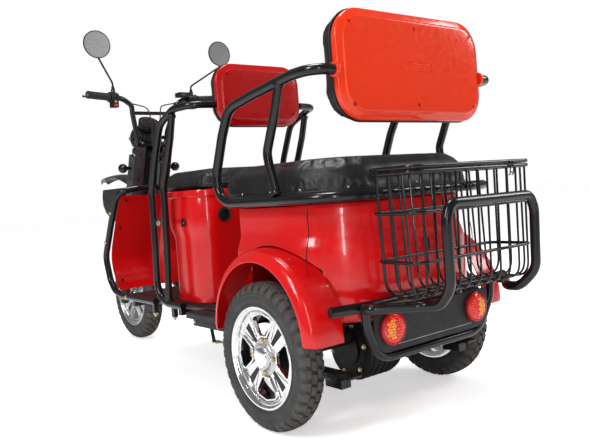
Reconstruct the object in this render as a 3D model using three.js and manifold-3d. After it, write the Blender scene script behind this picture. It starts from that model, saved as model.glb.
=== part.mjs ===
// Electric passenger tricycle: one driver in front, a two-place bench over the driven rear axle.
// Millimetres. +X is the rider's left, -Y is forward, +Z is up, and the ground is at Z = 0.
// Heights and lengths below are measured from the rear axle line (Y = 0) and the ground.
import * as THREE from 'three';
import { mergeVertices } from 'three/addons/utils/BufferGeometryUtils.js';
import Module from 'manifold-3d';

const wasm = await Module();
wasm.setup();

// ---------------------------------------------------------------- driving dimensions
const GAP = 0.4;
const WHEELBASE = 1580;
const HALF_TRACK = 339;
const TYRE_RADIUS = 205;
const TYRE_HALF_WIDTH = 38.5;
const BEAD_RADIUS = 128;
const RIM_RADIUS = 141;
const WHEEL_FACETS = 24;

const RAKE = THREE.MathUtils.degToRad(20.7);
const FORK_OFFSET = 45;
const FORK_HALF_WIDTH = 66;
const COVER_HALF_WIDTH = 90;
const STANCHION_RADIUS = 16;
const SLIDER_RADIUS = 22;

const GUARD_RADIUS = 12.5;
const REST_RADIUS = 14;
const BUMPER_RADIUS = 13;
const WIRE_RADIUS = 3;
const RING_RADIUS = 4.5;
const TUBE_BEND = 60;

const FLOOR_TOP = 286;
const FLOOR_HALF_WIDTH = 280;
const FLOOR_FRONT = -1085;
const FLOOR_REAR = -152;

const BODY_HALF_WIDTH = 335;
const BODY_FRONT = -150;
const BODY_REAR = 292;
const BODY_BOTTOM = 300;
const BODY_TOP = 612;
const BODY_WALL = 5;
const SHOULDER = 13;
const HOOP_HALF_WIDTH = 348;
const HOOP_REAR = 306;
const HOOP_HEIGHT = 629;

const ARCH_Y = 20;
const ARCH_Z = 270;
const ARCH_LIP = 199;
const ARCH_CROWN = 234;
const FENDER_INNER = 286;
const FENDER_OUTER = 395;

const BASKET_HALF_WIDTH = 236;
const BASKET_FRONT = 326;
const BASKET_REAR = 480;
const BASKET_RIM = 676;
const BASKET_FLOOR = 374;

const BAR_RADIUS = 11;
const GRIP_RADIUS = 16;
const GRIP_START = [212, -1246, 1109];
const GRIP_END = [313, -1215, 1111];
const GRIP_LENGTH = 111;

// ---------------------------------------------------------------- solids
function solid(geometry) {
  const bare = geometry.clone();
  bare.deleteAttribute('normal');
  bare.deleteAttribute('uv');
  const merged = mergeVertices(bare, 1e-4);
  const vertProperties = new Float32Array(merged.attributes.position.array);
  const triVerts = new Uint32Array(merged.index.array);
  return new wasm.Manifold(new wasm.Mesh({ numProp: 3, vertProperties, triVerts }));
}

function join(...solids) {
  return solids.reduce((whole, next) => whole.add(next));
}

function cut(whole, ...tools) {
  return tools.reduce((rest, tool) => rest.subtract(tool), whole);
}

function geometryOf(body) {
  const mesh = body.getMesh();
  const geometry = new THREE.BufferGeometry();
  geometry.setAttribute('position', new THREE.BufferAttribute(mesh.vertProperties.slice(), 3));
  geometry.setIndex(new THREE.BufferAttribute(mesh.triVerts.slice(), 1));
  geometry.computeVertexNormals();
  return geometry;
}

function vector([x, y, z]) {
  return new THREE.Vector3(x, y, z);
}

// A box given by its lowest and highest value along each axis.
function block([x0, x1], [y0, y1], [z0, z1]) {
  const geometry = new THREE.BoxGeometry(x1 - x0, y1 - y0, z1 - z0);
  geometry.translate((x0 + x1) / 2, (y0 + y1) / 2, (z0 + z1) / 2);
  return solid(geometry);
}

function slantedBlock([width, depth, height], centre, tilt) {
  const geometry = new THREE.BoxGeometry(width, depth, height);
  geometry.rotateX(tilt);
  geometry.translate(...centre);
  return solid(geometry);
}

// A round bar from one point to another.
function rod(from, to, radius, sides = 12) {
  const start = vector(from);
  const along = vector(to).sub(start);
  const geometry = new THREE.CylinderGeometry(radius, radius, along.length(), sides);
  const up = new THREE.Vector3(0, 1, 0);
  geometry.applyQuaternion(new THREE.Quaternion().setFromUnitVectors(up, along.clone().normalize()));
  const middle = start.addScaledVector(along, 0.5);
  geometry.translate(middle.x, middle.y, middle.z);
  return solid(geometry);
}

function ball(centre, radius) {
  const geometry = new THREE.SphereGeometry(radius, 12, 8);
  geometry.translate(...centre);
  return solid(geometry);
}

// The centre line of a bent tube: straight lengths with a round bend at each inner corner.
// It is sampled only at the bends, so a straight length is one segment.
class BentPath extends THREE.Curve {
  constructor(corners, bend, facet) {
    super();
    this.facet = facet;
    const points = corners.map(vector);
    this.stations = [];
    const last = points.length - 1;
    this.addStation(points[0], points[1].clone().sub(points[0]));
    for (let i = 1; i < last; i += 1) {
      this.addBend(points[i - 1], points[i], points[i + 1], bend);
    }
    this.addStation(points[last], points[last].clone().sub(points[last - 1]));
  }

  addStation(point, direction) {
    this.stations.push({ point: point.clone(), tangent: direction.clone().normalize() });
  }

  addBend(before, corner, after, bend) {
    const incoming = corner.clone().sub(before);
    const outgoing = after.clone().sub(corner);
    const angle = incoming.angleTo(outgoing);
    if (angle < 0.02) return;
    const room = 0.45 * Math.min(incoming.length(), outgoing.length());
    const reach = Math.min(bend * Math.tan(angle / 2), room);
    const start = corner.clone().addScaledVector(incoming.normalize(), -reach);
    const end = corner.clone().addScaledVector(outgoing.normalize(), reach);
    const curve = new THREE.QuadraticBezierCurve3(start, corner, end);
    const steps = Math.max(1, Math.round(angle / this.facet));
    for (let k = 0; k <= steps; k += 1) {
      this.addStation(curve.getPoint(k / steps), curve.getTangent(k / steps));
    }
  }

  stationAt(u) {
    return this.stations[Math.round(u * (this.stations.length - 1))];
  }

  getPointAt(u, target = new THREE.Vector3()) {
    return target.copy(this.stationAt(u).point);
  }

  getTangentAt(u, target = new THREE.Vector3()) {
    return target.copy(this.stationAt(u).tangent);
  }
}

function tube(corners, radius, { bend = TUBE_BEND, sides = 6, facet = 0.6 } = {}) {
  const path = new BentPath(corners, bend, facet);
  const section = new THREE.Shape();
  for (let k = 0; k < sides; k += 1) {
    const angle = (2 * Math.PI * (k + 0.5)) / sides;
    const point = [radius * Math.cos(angle), radius * Math.sin(angle)];
    if (k === 0) section.moveTo(...point);
    else section.lineTo(...point);
  }
  const steps = path.stations.length - 1;
  return solid(new THREE.ExtrudeGeometry(section, { steps, extrudePath: path, curveSegments: 1 }));
}

// A rectangle with rounded corners, as the points of its outline. Each corner has its own radius,
// given in the order: low-low, high-low, high-high, low-high.
function roundedOutline([u0, u1], [v0, v1], radii, steps = 5) {
  const centres = [[u0, v0, 1, 1], [u1, v0, -1, 1], [u1, v1, -1, -1], [u0, v1, 1, -1]];
  return centres.flatMap(([u, v, inU, inV], corner) => {
    const radius = radii[corner];
    return Array.from({ length: steps + 1 }, (_, k) => {
      const angle = Math.PI + (corner + k / steps) * (Math.PI / 2);
      return new THREE.Vector2(
        u + inU * radius + radius * Math.cos(angle),
        v + inV * radius + radius * Math.sin(angle),
      );
    });
  });
}

// An outline in the XZ plane, thickened along Y.
function plateAcross(outline, [y0, y1]) {
  const shape = new THREE.Shape(outline);
  const geometry = new THREE.ExtrudeGeometry(shape, { depth: y1 - y0, bevelEnabled: false });
  geometry.rotateX(Math.PI / 2);
  geometry.translate(0, y1, 0);
  return solid(geometry);
}

// An outline in the YZ plane, thickened along X.
function plateAlong(outline, [x0, x1]) {
  const shape = new THREE.Shape(outline);
  const geometry = new THREE.ExtrudeGeometry(shape, { depth: x1 - x0, bevelEnabled: false });
  geometry.rotateX(Math.PI / 2);
  geometry.rotateZ(Math.PI / 2);
  geometry.translate(x0, 0, 0);
  return solid(geometry);
}

// Horizontal outlines of equal length stacked at rising heights, skinned into one solid.
function stack(layers) {
  const count = layers[0].outline.length;
  const positions = [];
  const index = [];
  layers.forEach(({ outline, z }) => outline.forEach((p) => positions.push(p.x, p.y, z)));
  for (let layer = 0; layer + 1 < layers.length; layer += 1) {
    for (let k = 0; k < count; k += 1) {
      const here = layer * count + k;
      const next = layer * count + ((k + 1) % count);
      index.push(here, next, next + count, here, next + count, here + count);
    }
  }
  const triangles = THREE.ShapeUtils.triangulateShape(layers[0].outline, []);
  const top = (layers.length - 1) * count;
  triangles.forEach(([a, b, c]) => {
    index.push(a, c, b);
    index.push(top + a, top + b, top + c);
  });
  const geometry = new THREE.BufferGeometry();
  geometry.setAttribute('position', new THREE.Float32BufferAttribute(positions, 3));
  geometry.setIndex(index);
  return solid(geometry);
}

// A profile of [radius, distance] points turned about an axis along X.
function turnedOnX(profile, centre, facets, outward = 1) {
  const points = profile.map(([radius, along]) => new THREE.Vector2(radius, along));
  const geometry = new THREE.LatheGeometry(points, facets);
  geometry.rotateY(Math.PI / facets);
  geometry.rotateZ(-Math.PI / 2);
  if (outward < 0) geometry.rotateZ(Math.PI);
  geometry.translate(...centre);
  return solid(geometry);
}

function mirrored(points) {
  return points.map(([x, y, z]) => [-x, y, z]);
}

function sided(side, points) {
  return side > 0 ? points : mirrored(points);
}

function span(side, near, far) {
  return side > 0 ? [near, far] : [-far, -near];
}

// ---------------------------------------------------------------- the assembly
const tricycle = new THREE.Group();
const vehicle = new THREE.Group();
const fork = new THREE.Group();
fork.position.set(0, -WHEELBASE, TYRE_RADIUS);
fork.rotation.x = -RAKE;
vehicle.add(fork);
tricycle.add(vehicle);

const finishes = {
  red: { color: 0xd8120a, roughness: 0.2, metalness: 0 },
  black_tube: { color: 0x141414, roughness: 0.25, metalness: 0.1 },
  black_plastic: { color: 0x1c1c1c, roughness: 0.5, metalness: 0 },
  grey_plastic: { color: 0x8c8e90, roughness: 0.5, metalness: 0 },
  leather: { color: 0x121212, roughness: 0.55, metalness: 0 },
  rubber: { color: 0x1a1a1a, roughness: 0.85, metalness: 0 },
  alloy: { color: 0xd6d8da, roughness: 0.15, metalness: 1 },
  steel: { color: 0x9a9c9e, roughness: 0.35, metalness: 1 },
  lamp: { color: 0xc81010, roughness: 0.2, metalness: 0 },
  glass: { color: 0xb8bcc0, roughness: 0.05, metalness: 0.8 },
};

function piece(name, finish, body, parent = vehicle) {
  const mesh = new THREE.Mesh(geometryOf(body), new THREE.MeshStandardMaterial(finishes[finish]));
  mesh.name = name;
  parent.add(mesh);
}

// ---------------------------------------------------------------- wheels
const BEAD_SEAT = BEAD_RADIUS / Math.cos(Math.PI / WHEEL_FACETS) + GAP;
const TREAD_RADIUS = TYRE_RADIUS / Math.cos(Math.PI / WHEEL_FACETS);
const tyreProfile = [
  [BEAD_SEAT, -29], [168, -TYRE_HALF_WIDTH], [194, -29], [TREAD_RADIUS, -6], [TREAD_RADIUS, 6],
  [194, 29], [168, TYRE_HALF_WIDTH], [BEAD_SEAT, 29], [BEAD_SEAT, 20],
  [170, 29], [193, 0], [170, -29], [BEAD_SEAT, -20], [BEAD_SEAT, -29],
];

const rimProfile = [
  [0, -24], [34, -24], [34, -6], [112, -6], [120, -32], [RIM_RADIUS, -36],
  [BEAD_RADIUS, -30], [BEAD_RADIUS, 30], [RIM_RADIUS, 36], [122, 36],
  [116, 12], [30, 22], [30, 36], [0, 36],
];

// One of the four openings between the spokes, as a wedge that passes through the disc.
function rimWindow([x, y, z], turn) {
  const half = 0.42;
  const outline = [
    new THREE.Vector2(50 * Math.cos(half), -50 * Math.sin(half)),
    new THREE.Vector2(109 * Math.cos(half), -109 * Math.sin(half)),
    new THREE.Vector2(110, 0),
    new THREE.Vector2(109 * Math.cos(half), 109 * Math.sin(half)),
    new THREE.Vector2(50 * Math.cos(half), 50 * Math.sin(half)),
  ];
  const shape = new THREE.Shape(outline);
  const geometry = new THREE.ExtrudeGeometry(shape, { depth: 70, bevelEnabled: false });
  geometry.translate(0, 0, -35);
  geometry.rotateZ(turn);
  geometry.rotateY(Math.PI / 2);
  geometry.translate(x, y, z);
  return solid(geometry);
}

function wheel(name, centre, outward, parent) {
  const windows = [0, 1, 2, 3].map((k) => rimWindow(centre, k * (Math.PI / 2)));
  const [x, y, z] = centre;
  const blind = rod([x - outward * 40, y, z], [x + outward * 30, y, z], 8.8);
  const through = rod([x - 60, y, z], [x + 60, y, z], 8.8);
  const bore = name === 'front' ? through : blind;
  piece(`tyre_${name}`, 'rubber', turnedOnX(tyreProfile, centre, WHEEL_FACETS), parent);
  const disc = turnedOnX(rimProfile, centre, 16, outward);
  piece(`rim_${name}`, 'alloy', cut(disc, ...windows, bore), parent);
}

wheel('rear_left', [HALF_TRACK, 0, TYRE_RADIUS], 1, vehicle);
wheel('rear_right', [-HALF_TRACK, 0, TYRE_RADIUS], -1, vehicle);
wheel('front', [0, -WHEELBASE, TYRE_RADIUS], 1, vehicle);

// ---------------------------------------------------------------- rear axle and springs
const AXLE_RADIUS = 28;
const HUB_GAP = 26;
const SPRING_X = 240;
const MOTOR_Z = 165;
const MOTOR_RADIUS = 96;

function rearAxle() {
  const reach = HALF_TRACK - HUB_GAP;
  const casing = rod([-reach + 22, 0, TYRE_RADIUS], [reach - 22, 0, TYRE_RADIUS], AXLE_RADIUS);
  const motor = rod([-95, 0, MOTOR_Z], [54, 0, MOTOR_Z], MOTOR_RADIUS, 20);
  const drums = [1, -1].map((side) => {
    const [from, to] = span(side, reach - 30, reach);
    return rod([from, 0, TYRE_RADIUS], [to, 0, TYRE_RADIUS], 78, 20);
  });
  const spindle = rod([-HALF_TRACK - 28, 0, TYRE_RADIUS], [HALF_TRACK + 28, 0, TYRE_RADIUS], 8);
  return join(casing, motor, ...drums, spindle);
}
piece('rear_axle', 'black_plastic', rearAxle());

for (const [name, side] of [['left', 1], ['right', -1]]) {
  const leaves = [0, 1, 2].map((k) => {
    const reach = 235 - 55 * k;
    const top = 162 - 7 * k;
    return block(span(side, SPRING_X - 22, SPRING_X + 22), [-reach, reach], [top - 7, top + 0.1]);
  });
  const seat = TYRE_RADIUS - AXLE_RADIUS - GAP;
  const clamp = block(span(side, SPRING_X - 26, SPRING_X + 26), [-32, 32], [130, seat]);
  const eye = block(span(side, SPRING_X - 17, SPRING_X + 17), [130, 196], [124, 148]);
  piece(`leaf_spring_${name}`, 'black_plastic', join(...leaves, clamp, eye));
}

// ---------------------------------------------------------------- main frame
const RAIL_X = 150;
const RAIL_TOP = 298;
const STEER_Y = -WHEELBASE + FORK_OFFSET * Math.cos(RAKE);
const STEER_Z = TYRE_RADIUS - FORK_OFFSET * Math.sin(RAKE);

// A point on the steering axis at a distance up from the wheel centre's level.
function onSteeringAxis(up) {
  return [0, STEER_Y + up * Math.sin(RAKE), STEER_Z + up * Math.cos(RAKE)];
}

const neckLine = [[0, -1100, 254], [0, -1185, 300], [0, -1270, 560], onSteeringAxis(560)];
function mainFrame() {
  const rails = [1, -1].map((side) => join(
    block(span(side, RAIL_X - 20, RAIL_X + 20), [-1120, -125], [236, 272]),
    block(span(side, RAIL_X - 20, RAIL_X + 20), [-148, -125], [236, RAIL_TOP]),
    block(span(side, RAIL_X - 20, RAIL_X + 20), [-148, 262], [RAIL_TOP - 24, RAIL_TOP]),
  ));
  const crossings = [-1100, -900, -500, -255].map((y) => (
    block([-RAIL_X, RAIL_X], [y - 15, y + 15], [240, 268])));
  const rearCrossing = block([-RAIL_X, RAIL_X], [232, 262], [RAIL_TOP - 22, RAIL_TOP - 2]);
  const outriggers = [-1000, -620, -240].map((y) => (
    block([-282, 282], [y - 12, y + 12], [245, 267])));
  const neck = tube(neckLine, 22, { bend: 80 });
  const headTube = rod(onSteeringAxis(470), onSteeringAxis(695), 27, 16);
  const bore = rod(onSteeringAxis(440), onSteeringAxis(730), 17, 16);
  const posts = [-947, -1120].map((y) => block([132, 150], [y, y + 24], [186, 240]));
  return cut(join(...rails, ...crossings, rearCrossing, ...outriggers, neck, headTube, ...posts), bore);
}
piece('main_frame', 'black_tube', mainFrame());

// ---------------------------------------------------------------- leg shield and floor
const PEDAL_X = -108;
const PEDAL_Y = -700;
const PEDAL_Z = 222;
const PAD_Y = -950;
const SHIELD_X = 300;
const shieldSide = [
  [230, -1000, 708], [SHIELD_X - 6, -1013, 700], [SHIELD_X, -1055, 669],
  [SHIELD_X, -1123, 562], [SHIELD_X, -1197, 435],
  [SHIELD_X, -1166, 342], [SHIELD_X, -1126, 300], [SHIELD_X, -1054, 285], [SHIELD_X, -762, 285],
];
const shieldLoop = [...[...shieldSide].reverse(), ...mirrored(shieldSide)];
piece('leg_shield_frame', 'black_tube', tube(shieldLoop, GUARD_RADIUS, { bend: 40 }));

// The panel follows the frame's side line, dished forward, with a central column housing.
function legShield() {
  const line = [[-1024, 681], [-1062, 655], [-1118, 560], [-1176, 436], [-1150, 345], [-1112, 302]];
  const back = line.map(([y, z]) => new THREE.Vector2(y, z));
  const front = [...line].reverse().map(([y, z]) => new THREE.Vector2(y - 12, z + 1));
  const panel = plateAlong([...back, ...front], [-SHIELD_X + 16, SHIELD_X - 16]);
  const column = stack([
    { outline: roundedOutline([-95, 95], [-1130, -1080], [10, 10, 30, 30]), z: 302 },
    { outline: roundedOutline([-95, 95], [-1185, -1110], [10, 10, 30, 30]), z: 436 },
    { outline: roundedOutline([-95, 95], [-1120, -1050], [10, 10, 30, 30]), z: 590 },
    { outline: roundedOutline([-95, 95], [-1060, -1005], [10, 10, 30, 30]), z: 672 },
  ]);
  const neckRoom = tube(neckLine, 24, { bend: 80 });
  return cut(join(panel, column), neckRoom);
}
piece('leg_shield', 'red', legShield());

function floorMat() {
  const sheet = block([-FLOOR_HALF_WIDTH, FLOOR_HALF_WIDTH], [FLOOR_FRONT, FLOOR_REAR], [272.5, FLOOR_TOP]);
  const ribs = Array.from({ length: 15 }, (_, k) => {
    const x = (k - 7) * 36;
    return block([x - 5, x + 5], [FLOOR_FRONT + 8, FLOOR_REAR - 8], [FLOOR_TOP - 1, FLOOR_TOP + 3]);
  });
  const pedalSlot = block([PEDAL_X - 12, PEDAL_X + 12], [PAD_Y - 22, PAD_Y + 26], [260, 300]);
  return cut(join(sheet, ...ribs), pedalSlot);
}
piece('floor_mat', 'black_plastic', floorMat());

// Grey step under each rear corner of the floor, joined by a beam across the rails.
function stepBoard() {
  const sides = [1, -1].map((side) => join(
    block(span(side, 230, 340), [-478, -254], [262, 280]),
    block(span(side, 230, 322), [-462, -254], [236, 263]),
  ));
  const beam = block([-240, 240], [-400, -360], [218, 235.6]);
  const droppers = [1, -1].map((side) => block(span(side, 205, 245), [-400, -360], [218, 262.5]));
  const matEdge = FLOOR_HALF_WIDTH + GAP;
  const mat = block([-matEdge, matEdge], [-1100, -140], [272.1, 300]);
  return cut(join(...sides, beam, ...droppers), mat);
}
piece('step_board', 'grey_plastic', stepBoard());

// ---------------------------------------------------------------- driver's guards
const GUARD_X = 290;
function driverGuard(side) {
  const outer = tube(sided(side, [
    [181, -450, 965], [262, -466, 965], [GUARD_X, -543, 960], [GUARD_X, -649, 918],
    [GUARD_X, -708, 794], [GUARD_X, -750, 685], [GUARD_X, -754, 475], [GUARD_X, -762, 349],
    [GUARD_X, -735, 296], [GUARD_X + 8, -667, 285], [GUARD_X + 8, -560, 285],
  ]), GUARD_RADIUS, { bend: 55 });
  const inner = tube(sided(side, [
    [GUARD_X, -553, 945], [GUARD_X, -579, 863], [GUARD_X, -613, 786], [GUARD_X, -656, 702],
    [GUARD_X, -657, 648], [GUARD_X, -664, 477], [GUARD_X + 4, -670, 290],
  ]), GUARD_RADIUS, { bend: 50 });
  const strap = block(span(side, GUARD_X - 4, GUARD_X + 4), [-752, -658], [560, 584]);
  const bolt = rod([side * (GUARD_X - 14), -706, 572], [side * (GUARD_X + 14), -706, 572], 7, 8);
  return join(outer, inner, strap, bolt);
}
piece('driver_guard_left', 'black_tube', driverGuard(1));
piece('driver_guard_right', 'black_tube', driverGuard(-1));

// ---------------------------------------------------------------- driver's seat
const SEAT_BOX_X = 252;
const SEAT_BOX_REAR = -480;
function seatBoxLayer(inset, z, front) {
  const radii = [40, 40, 72, 72].map((radius) => radius - inset);
  const across = [-SEAT_BOX_X + inset, SEAT_BOX_X - inset];
  return { outline: roundedOutline(across, [front + inset, SEAT_BOX_REAR - inset], radii), z };
}

function driverSeatBox() {
  const outside = stack([
    seatBoxLayer(0, FLOOR_TOP + 3.5, -712), seatBoxLayer(0, 520, -712),
    seatBoxLayer(0, 560, -735), seatBoxLayer(0, 650, -735),
    seatBoxLayer(-6, 658, -735), seatBoxLayer(-6, 680, -735),
  ]);
  const inside = stack([
    seatBoxLayer(5, FLOOR_TOP + 9, -712), seatBoxLayer(5, 520, -712),
    seatBoxLayer(5, 560, -735), seatBoxLayer(5, 690, -735),
  ]);
  const latchHole = rod([230, -592, 568], [270, -592, 568], 11.5, 12);
  const portHole = rod([157, -500, 590], [157, -470, 590], 19.5, 16);
  return cut(outside, inside, latchHole, portHole);
}
piece('driver_seat_box', 'red', driverSeatBox());

function cushion([x0, x1], [y0, y1], [z0, z1], corner, round) {
  const layer = (inset, z) => {
    const radii = corner.map((radius) => radius - inset);
    return { outline: roundedOutline([x0 + inset, x1 - inset], [y0 + inset, y1 - inset], radii), z };
  };
  return stack([layer(round / 2, z0), layer(0, z0 + round), layer(0, z1 - round), layer(round, z1)]);
}
const driverCushion = cushion([-235, 235], [-852, -462], [681, 750], [70, 70, 60, 60], 16);
piece('driver_cushion', 'leather', driverCushion);

piece('seat_latch', 'black_plastic', join(
  rod([232, -592, 568], [262, -592, 568], 11, 12),
  block([262 - 2, 266], [-596, -588], [552, 584]),
  block([232, 236], [-600, -584], [540, 568]),
));
piece('charging_port', 'black_plastic', join(
  rod([157, -498, 590], [157, -478, 590], 19, 16),
  rod([157, -479.6, 590], [157, -474, 590], 25, 16),
));

// A backrest: a red shell behind, a cushion in front.
const BACKREST_STEP = 22;
function backrest(prefix, halfWidth, [bottom, top], shellRear, cushionFront, corner) {
  const middle = shellRear - 26;
  const panel = (inset) => roundedOutline([-halfWidth + inset, halfWidth - inset],
    [bottom + inset, top - inset], Array(4).fill(corner - inset), 6);
  const outline = panel(0);
  const raised = panel(BACKREST_STEP);
  const rim = plateAcross(outline, [middle, shellRear - 8]);
  const shellFace = plateAcross(raised, [shellRear - 8.1, shellRear]);
  piece(`${prefix}_backrest_shell`, 'red', join(rim, shellFace));
  const pad = plateAcross(outline, [cushionFront + 14, middle - GAP]);
  const face = plateAcross(raised, [cushionFront, cushionFront + 14.1]);
  piece(`${prefix}_backrest_cushion`, 'leather', join(pad, face));
}
backrest('driver', 177, [891, 1106], -428, -500, 70);
backrest('passenger', 280, [818, 1105], 306, 214, 85);

// ---------------------------------------------------------------- passenger body
function bodyLayer(inset, z) {
  const radii = [26, 26, 262, 262].map((radius) => Math.max(radius - inset, 4));
  const across = [-BODY_HALF_WIDTH + inset, BODY_HALF_WIDTH - inset];
  return { outline: roundedOutline(across, [BODY_FRONT + inset, BODY_REAR - inset], radii, 7), z };
}

function wheelArchRoom(side) {
  const [from, to] = span(side, FENDER_INNER - 4, 420);
  const round = rod([from, ARCH_Y, ARCH_Z], [to, ARCH_Y, ARCH_Z], ARCH_CROWN + 3, 28);
  const below = block([from, to], [ARCH_Y - ARCH_CROWN - 1, ARCH_Y + ARCH_CROWN + 1], [200, ARCH_Z]);
  return join(round, below);
}

function passengerBody() {
  const outside = stack([
    bodyLayer(10, BODY_BOTTOM), bodyLayer(0, BODY_BOTTOM + 12), bodyLayer(0, 498),
    bodyLayer(SHOULDER, 530), bodyLayer(SHOULDER, BODY_TOP),
  ]);
  const inside = stack([
    bodyLayer(BODY_WALL + 6, BODY_BOTTOM + 12 + BODY_WALL), bodyLayer(BODY_WALL, 496),
    bodyLayer(SHOULDER + BODY_WALL, 528), bodyLayer(SHOULDER + BODY_WALL, BODY_TOP + 10),
  ]);
  const shell = cut(outside, inside);
  const wells = [1, -1].map((side) => {
    const room = wheelArchRoom(side);
    const [from, to] = span(side, FENDER_INNER - 9, BODY_HALF_WIDTH - 1);
    const reach = ARCH_CROWN + 5;
    const wall = join(
      rod([from, ARCH_Y, ARCH_Z], [to, ARCH_Y, ARCH_Z], ARCH_CROWN + 7, 28),
      block([from, to], [ARCH_Y - reach, ARCH_Y + reach], [BODY_BOTTOM + 4, ARCH_Z + 60]),
    );
    return { room, wall: wall.intersect(outside) };
  });
  const latchRoom = rod([0, BODY_REAR - 20, 596], [0, BODY_REAR + 10, 596], 9, 10);
  const lined = join(shell, ...wells.map((well) => well.wall));
  return cut(lined, ...wells.map((well) => well.room), latchRoom);
}
piece('passenger_body', 'red', passengerBody());
const benchCushion = cushion([-326, 326], [-245, 286], [BODY_TOP + 3, 729], [70, 70, 190, 190], 22);
piece('passenger_cushion', 'leather', benchCushion);
piece('battery_box', 'black_plastic', block([-190, 190], [-90, 150], [BODY_BOTTOM + 18, 500]));

// ---------------------------------------------------------------- fenders
// The fender's section runs from its inner edge, over the crown, down to the outer lip.
const fenderSection = [
  [FENDER_INNER, ARCH_CROWN], [362, ARCH_CROWN], [382, ARCH_CROWN - 8], [FENDER_OUTER, ARCH_LIP + 4],
  [FENDER_OUTER, ARCH_LIP], [FENDER_OUTER - 3, ARCH_LIP], [379, ARCH_CROWN - 13], [361, ARCH_CROWN - 4],
  [FENDER_INNER, ARCH_CROWN - 4],
];

function fender(side) {
  const profile = fenderSection.map(([x, radius]) => [radius, x]);
  profile.push(profile[0]);
  const ring = turnedOnX(profile, [0, 0, 0], 32, side);
  const geometry = geometryOf(ring);
  geometry.translate(0, ARCH_Y, ARCH_Z);
  const below = block([-420, 420], [ARCH_Y - 300, ARCH_Y + 300], [ARCH_Z - 300, ARCH_Z - 4]);
  return cut(solid(geometry), below);
}
piece('fender_left', 'red', fender(1));
piece('fender_right', 'red', fender(-1));

// ---------------------------------------------------------------- arm rests and hoop
const HOOP_SPLIT = -95;
function armRest(side) {
  const x = HOOP_HALF_WIDTH;
  const main = tube(sided(side, [
    [281, 290, 944], [322, 290, 944], [x, 255, 944], [x, 199, 943], [x, 26, 921],
    [x, -104, 900], [x, -149, 824], [x, -200, 707], [x, -184, 652],
    [x, -140, HOOP_HEIGHT], [x, HOOP_SPLIT - GAP, HOOP_HEIGHT],
  ]), REST_RADIUS, { bend: 60 });
  const support = tube(sided(side, [
    [x, 143, 930], [x, 113, 853], [x, 68, 758], [x, 74, 726], [x, 99, 649],
  ]), GUARD_RADIUS, { bend: 40 });
  return join(main, support);
}
piece('arm_rest_left', 'black_tube', armRest(1));
piece('arm_rest_right', 'black_tube', armRest(-1));

const hoopSide = [
  [HOOP_HALF_WIDTH, HOOP_SPLIT, HOOP_HEIGHT],
  [HOOP_HALF_WIDTH, HOOP_REAR, HOOP_HEIGHT],
];
const hoopLoop = [...hoopSide, ...mirrored(hoopSide).reverse()];
piece('seat_hoop', 'black_tube', tube(hoopLoop, REST_RADIUS, { bend: 166 }));

// ---------------------------------------------------------------- luggage basket
const WIRE_SPACING = 42;
const BASKET_TAPER = 9;
const WIRE = { bend: 30, sides: 4, facet: 1.6 };

// A closed wire ring round the basket at one height.
function basketRing(z, radius, inset) {
  const x = BASKET_HALF_WIDTH - inset;
  const [front, rear] = [BASKET_FRONT + inset, BASKET_REAR - inset];
  const loop = [
    [6, front, z], [x, front, z], [x, rear, z], [-x, rear, z], [-x, front, z], [-6, front, z],
  ];
  const closer = rod([-10, front, z], [10, front, z], radius, 4);
  return join(tube(loop, radius, { ...WIRE, bend: 24 }), closer);
}

// Evenly spaced values between two limits, both included, about one wire spacing apart.
function wirePlaces(from, to) {
  const gaps = Math.round((to - from) / WIRE_SPACING);
  return Array.from({ length: gaps + 1 }, (_, k) => from + ((to - from) * k) / gaps);
}

// Each wire goes down one wall, under the floor and up the opposite wall.
function basket() {
  const low = BASKET_FLOOR;
  const rings = [[BASKET_RIM, RING_RADIUS + 1, 0], [580, RING_RADIUS, 3], [462, RING_RADIUS, 6]]
    .map(([z, radius, inset]) => basketRing(z, radius, inset));
  const [front, rear] = [BASKET_FRONT + BASKET_TAPER, BASKET_REAR - BASKET_TAPER];
  const side = BASKET_HALF_WIDTH - BASKET_TAPER;
  const lengthwise = wirePlaces(-BASKET_HALF_WIDTH + 30, BASKET_HALF_WIDTH - 30).map((x) => (
    tube([
      [x, BASKET_FRONT, BASKET_RIM], [x, front, low], [x, rear, low], [x, BASKET_REAR, BASKET_RIM],
    ], WIRE_RADIUS, WIRE)));
  const crosswise = wirePlaces(BASKET_FRONT + 34, BASKET_REAR - 34).map((y) => (
    tube([
      [BASKET_HALF_WIDTH, y, BASKET_RIM], [side, y, low + 4],
      [-side, y, low + 4], [-BASKET_HALF_WIDTH, y, BASKET_RIM],
    ], WIRE_RADIUS, WIRE)));
  return join(...rings, ...lengthwise, ...crosswise);
}
piece('basket', 'black_tube', basket());

const LID_Z = BASKET_RIM + 12;
function basketLid() {
  const bars = wirePlaces(-BASKET_HALF_WIDTH + 30, BASKET_HALF_WIDTH - 30).map((x) => (
    rod([x, BASKET_FRONT, LID_Z], [x, BASKET_REAR, LID_Z], WIRE_RADIUS, 5)));
  const clasp = block([-148, -128], [BASKET_REAR + 6.5, BASKET_REAR + 9], [LID_Z - 34, LID_Z + 4]);
  const claspTop = block([-148, -128], [BASKET_REAR, BASKET_REAR + 9], [LID_Z, LID_Z + 4]);
  return join(basketRing(LID_Z, RING_RADIUS + 1, 0), ...bars, clasp, claspTop);
}
piece('basket_lid', 'black_tube', basketLid());

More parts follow.
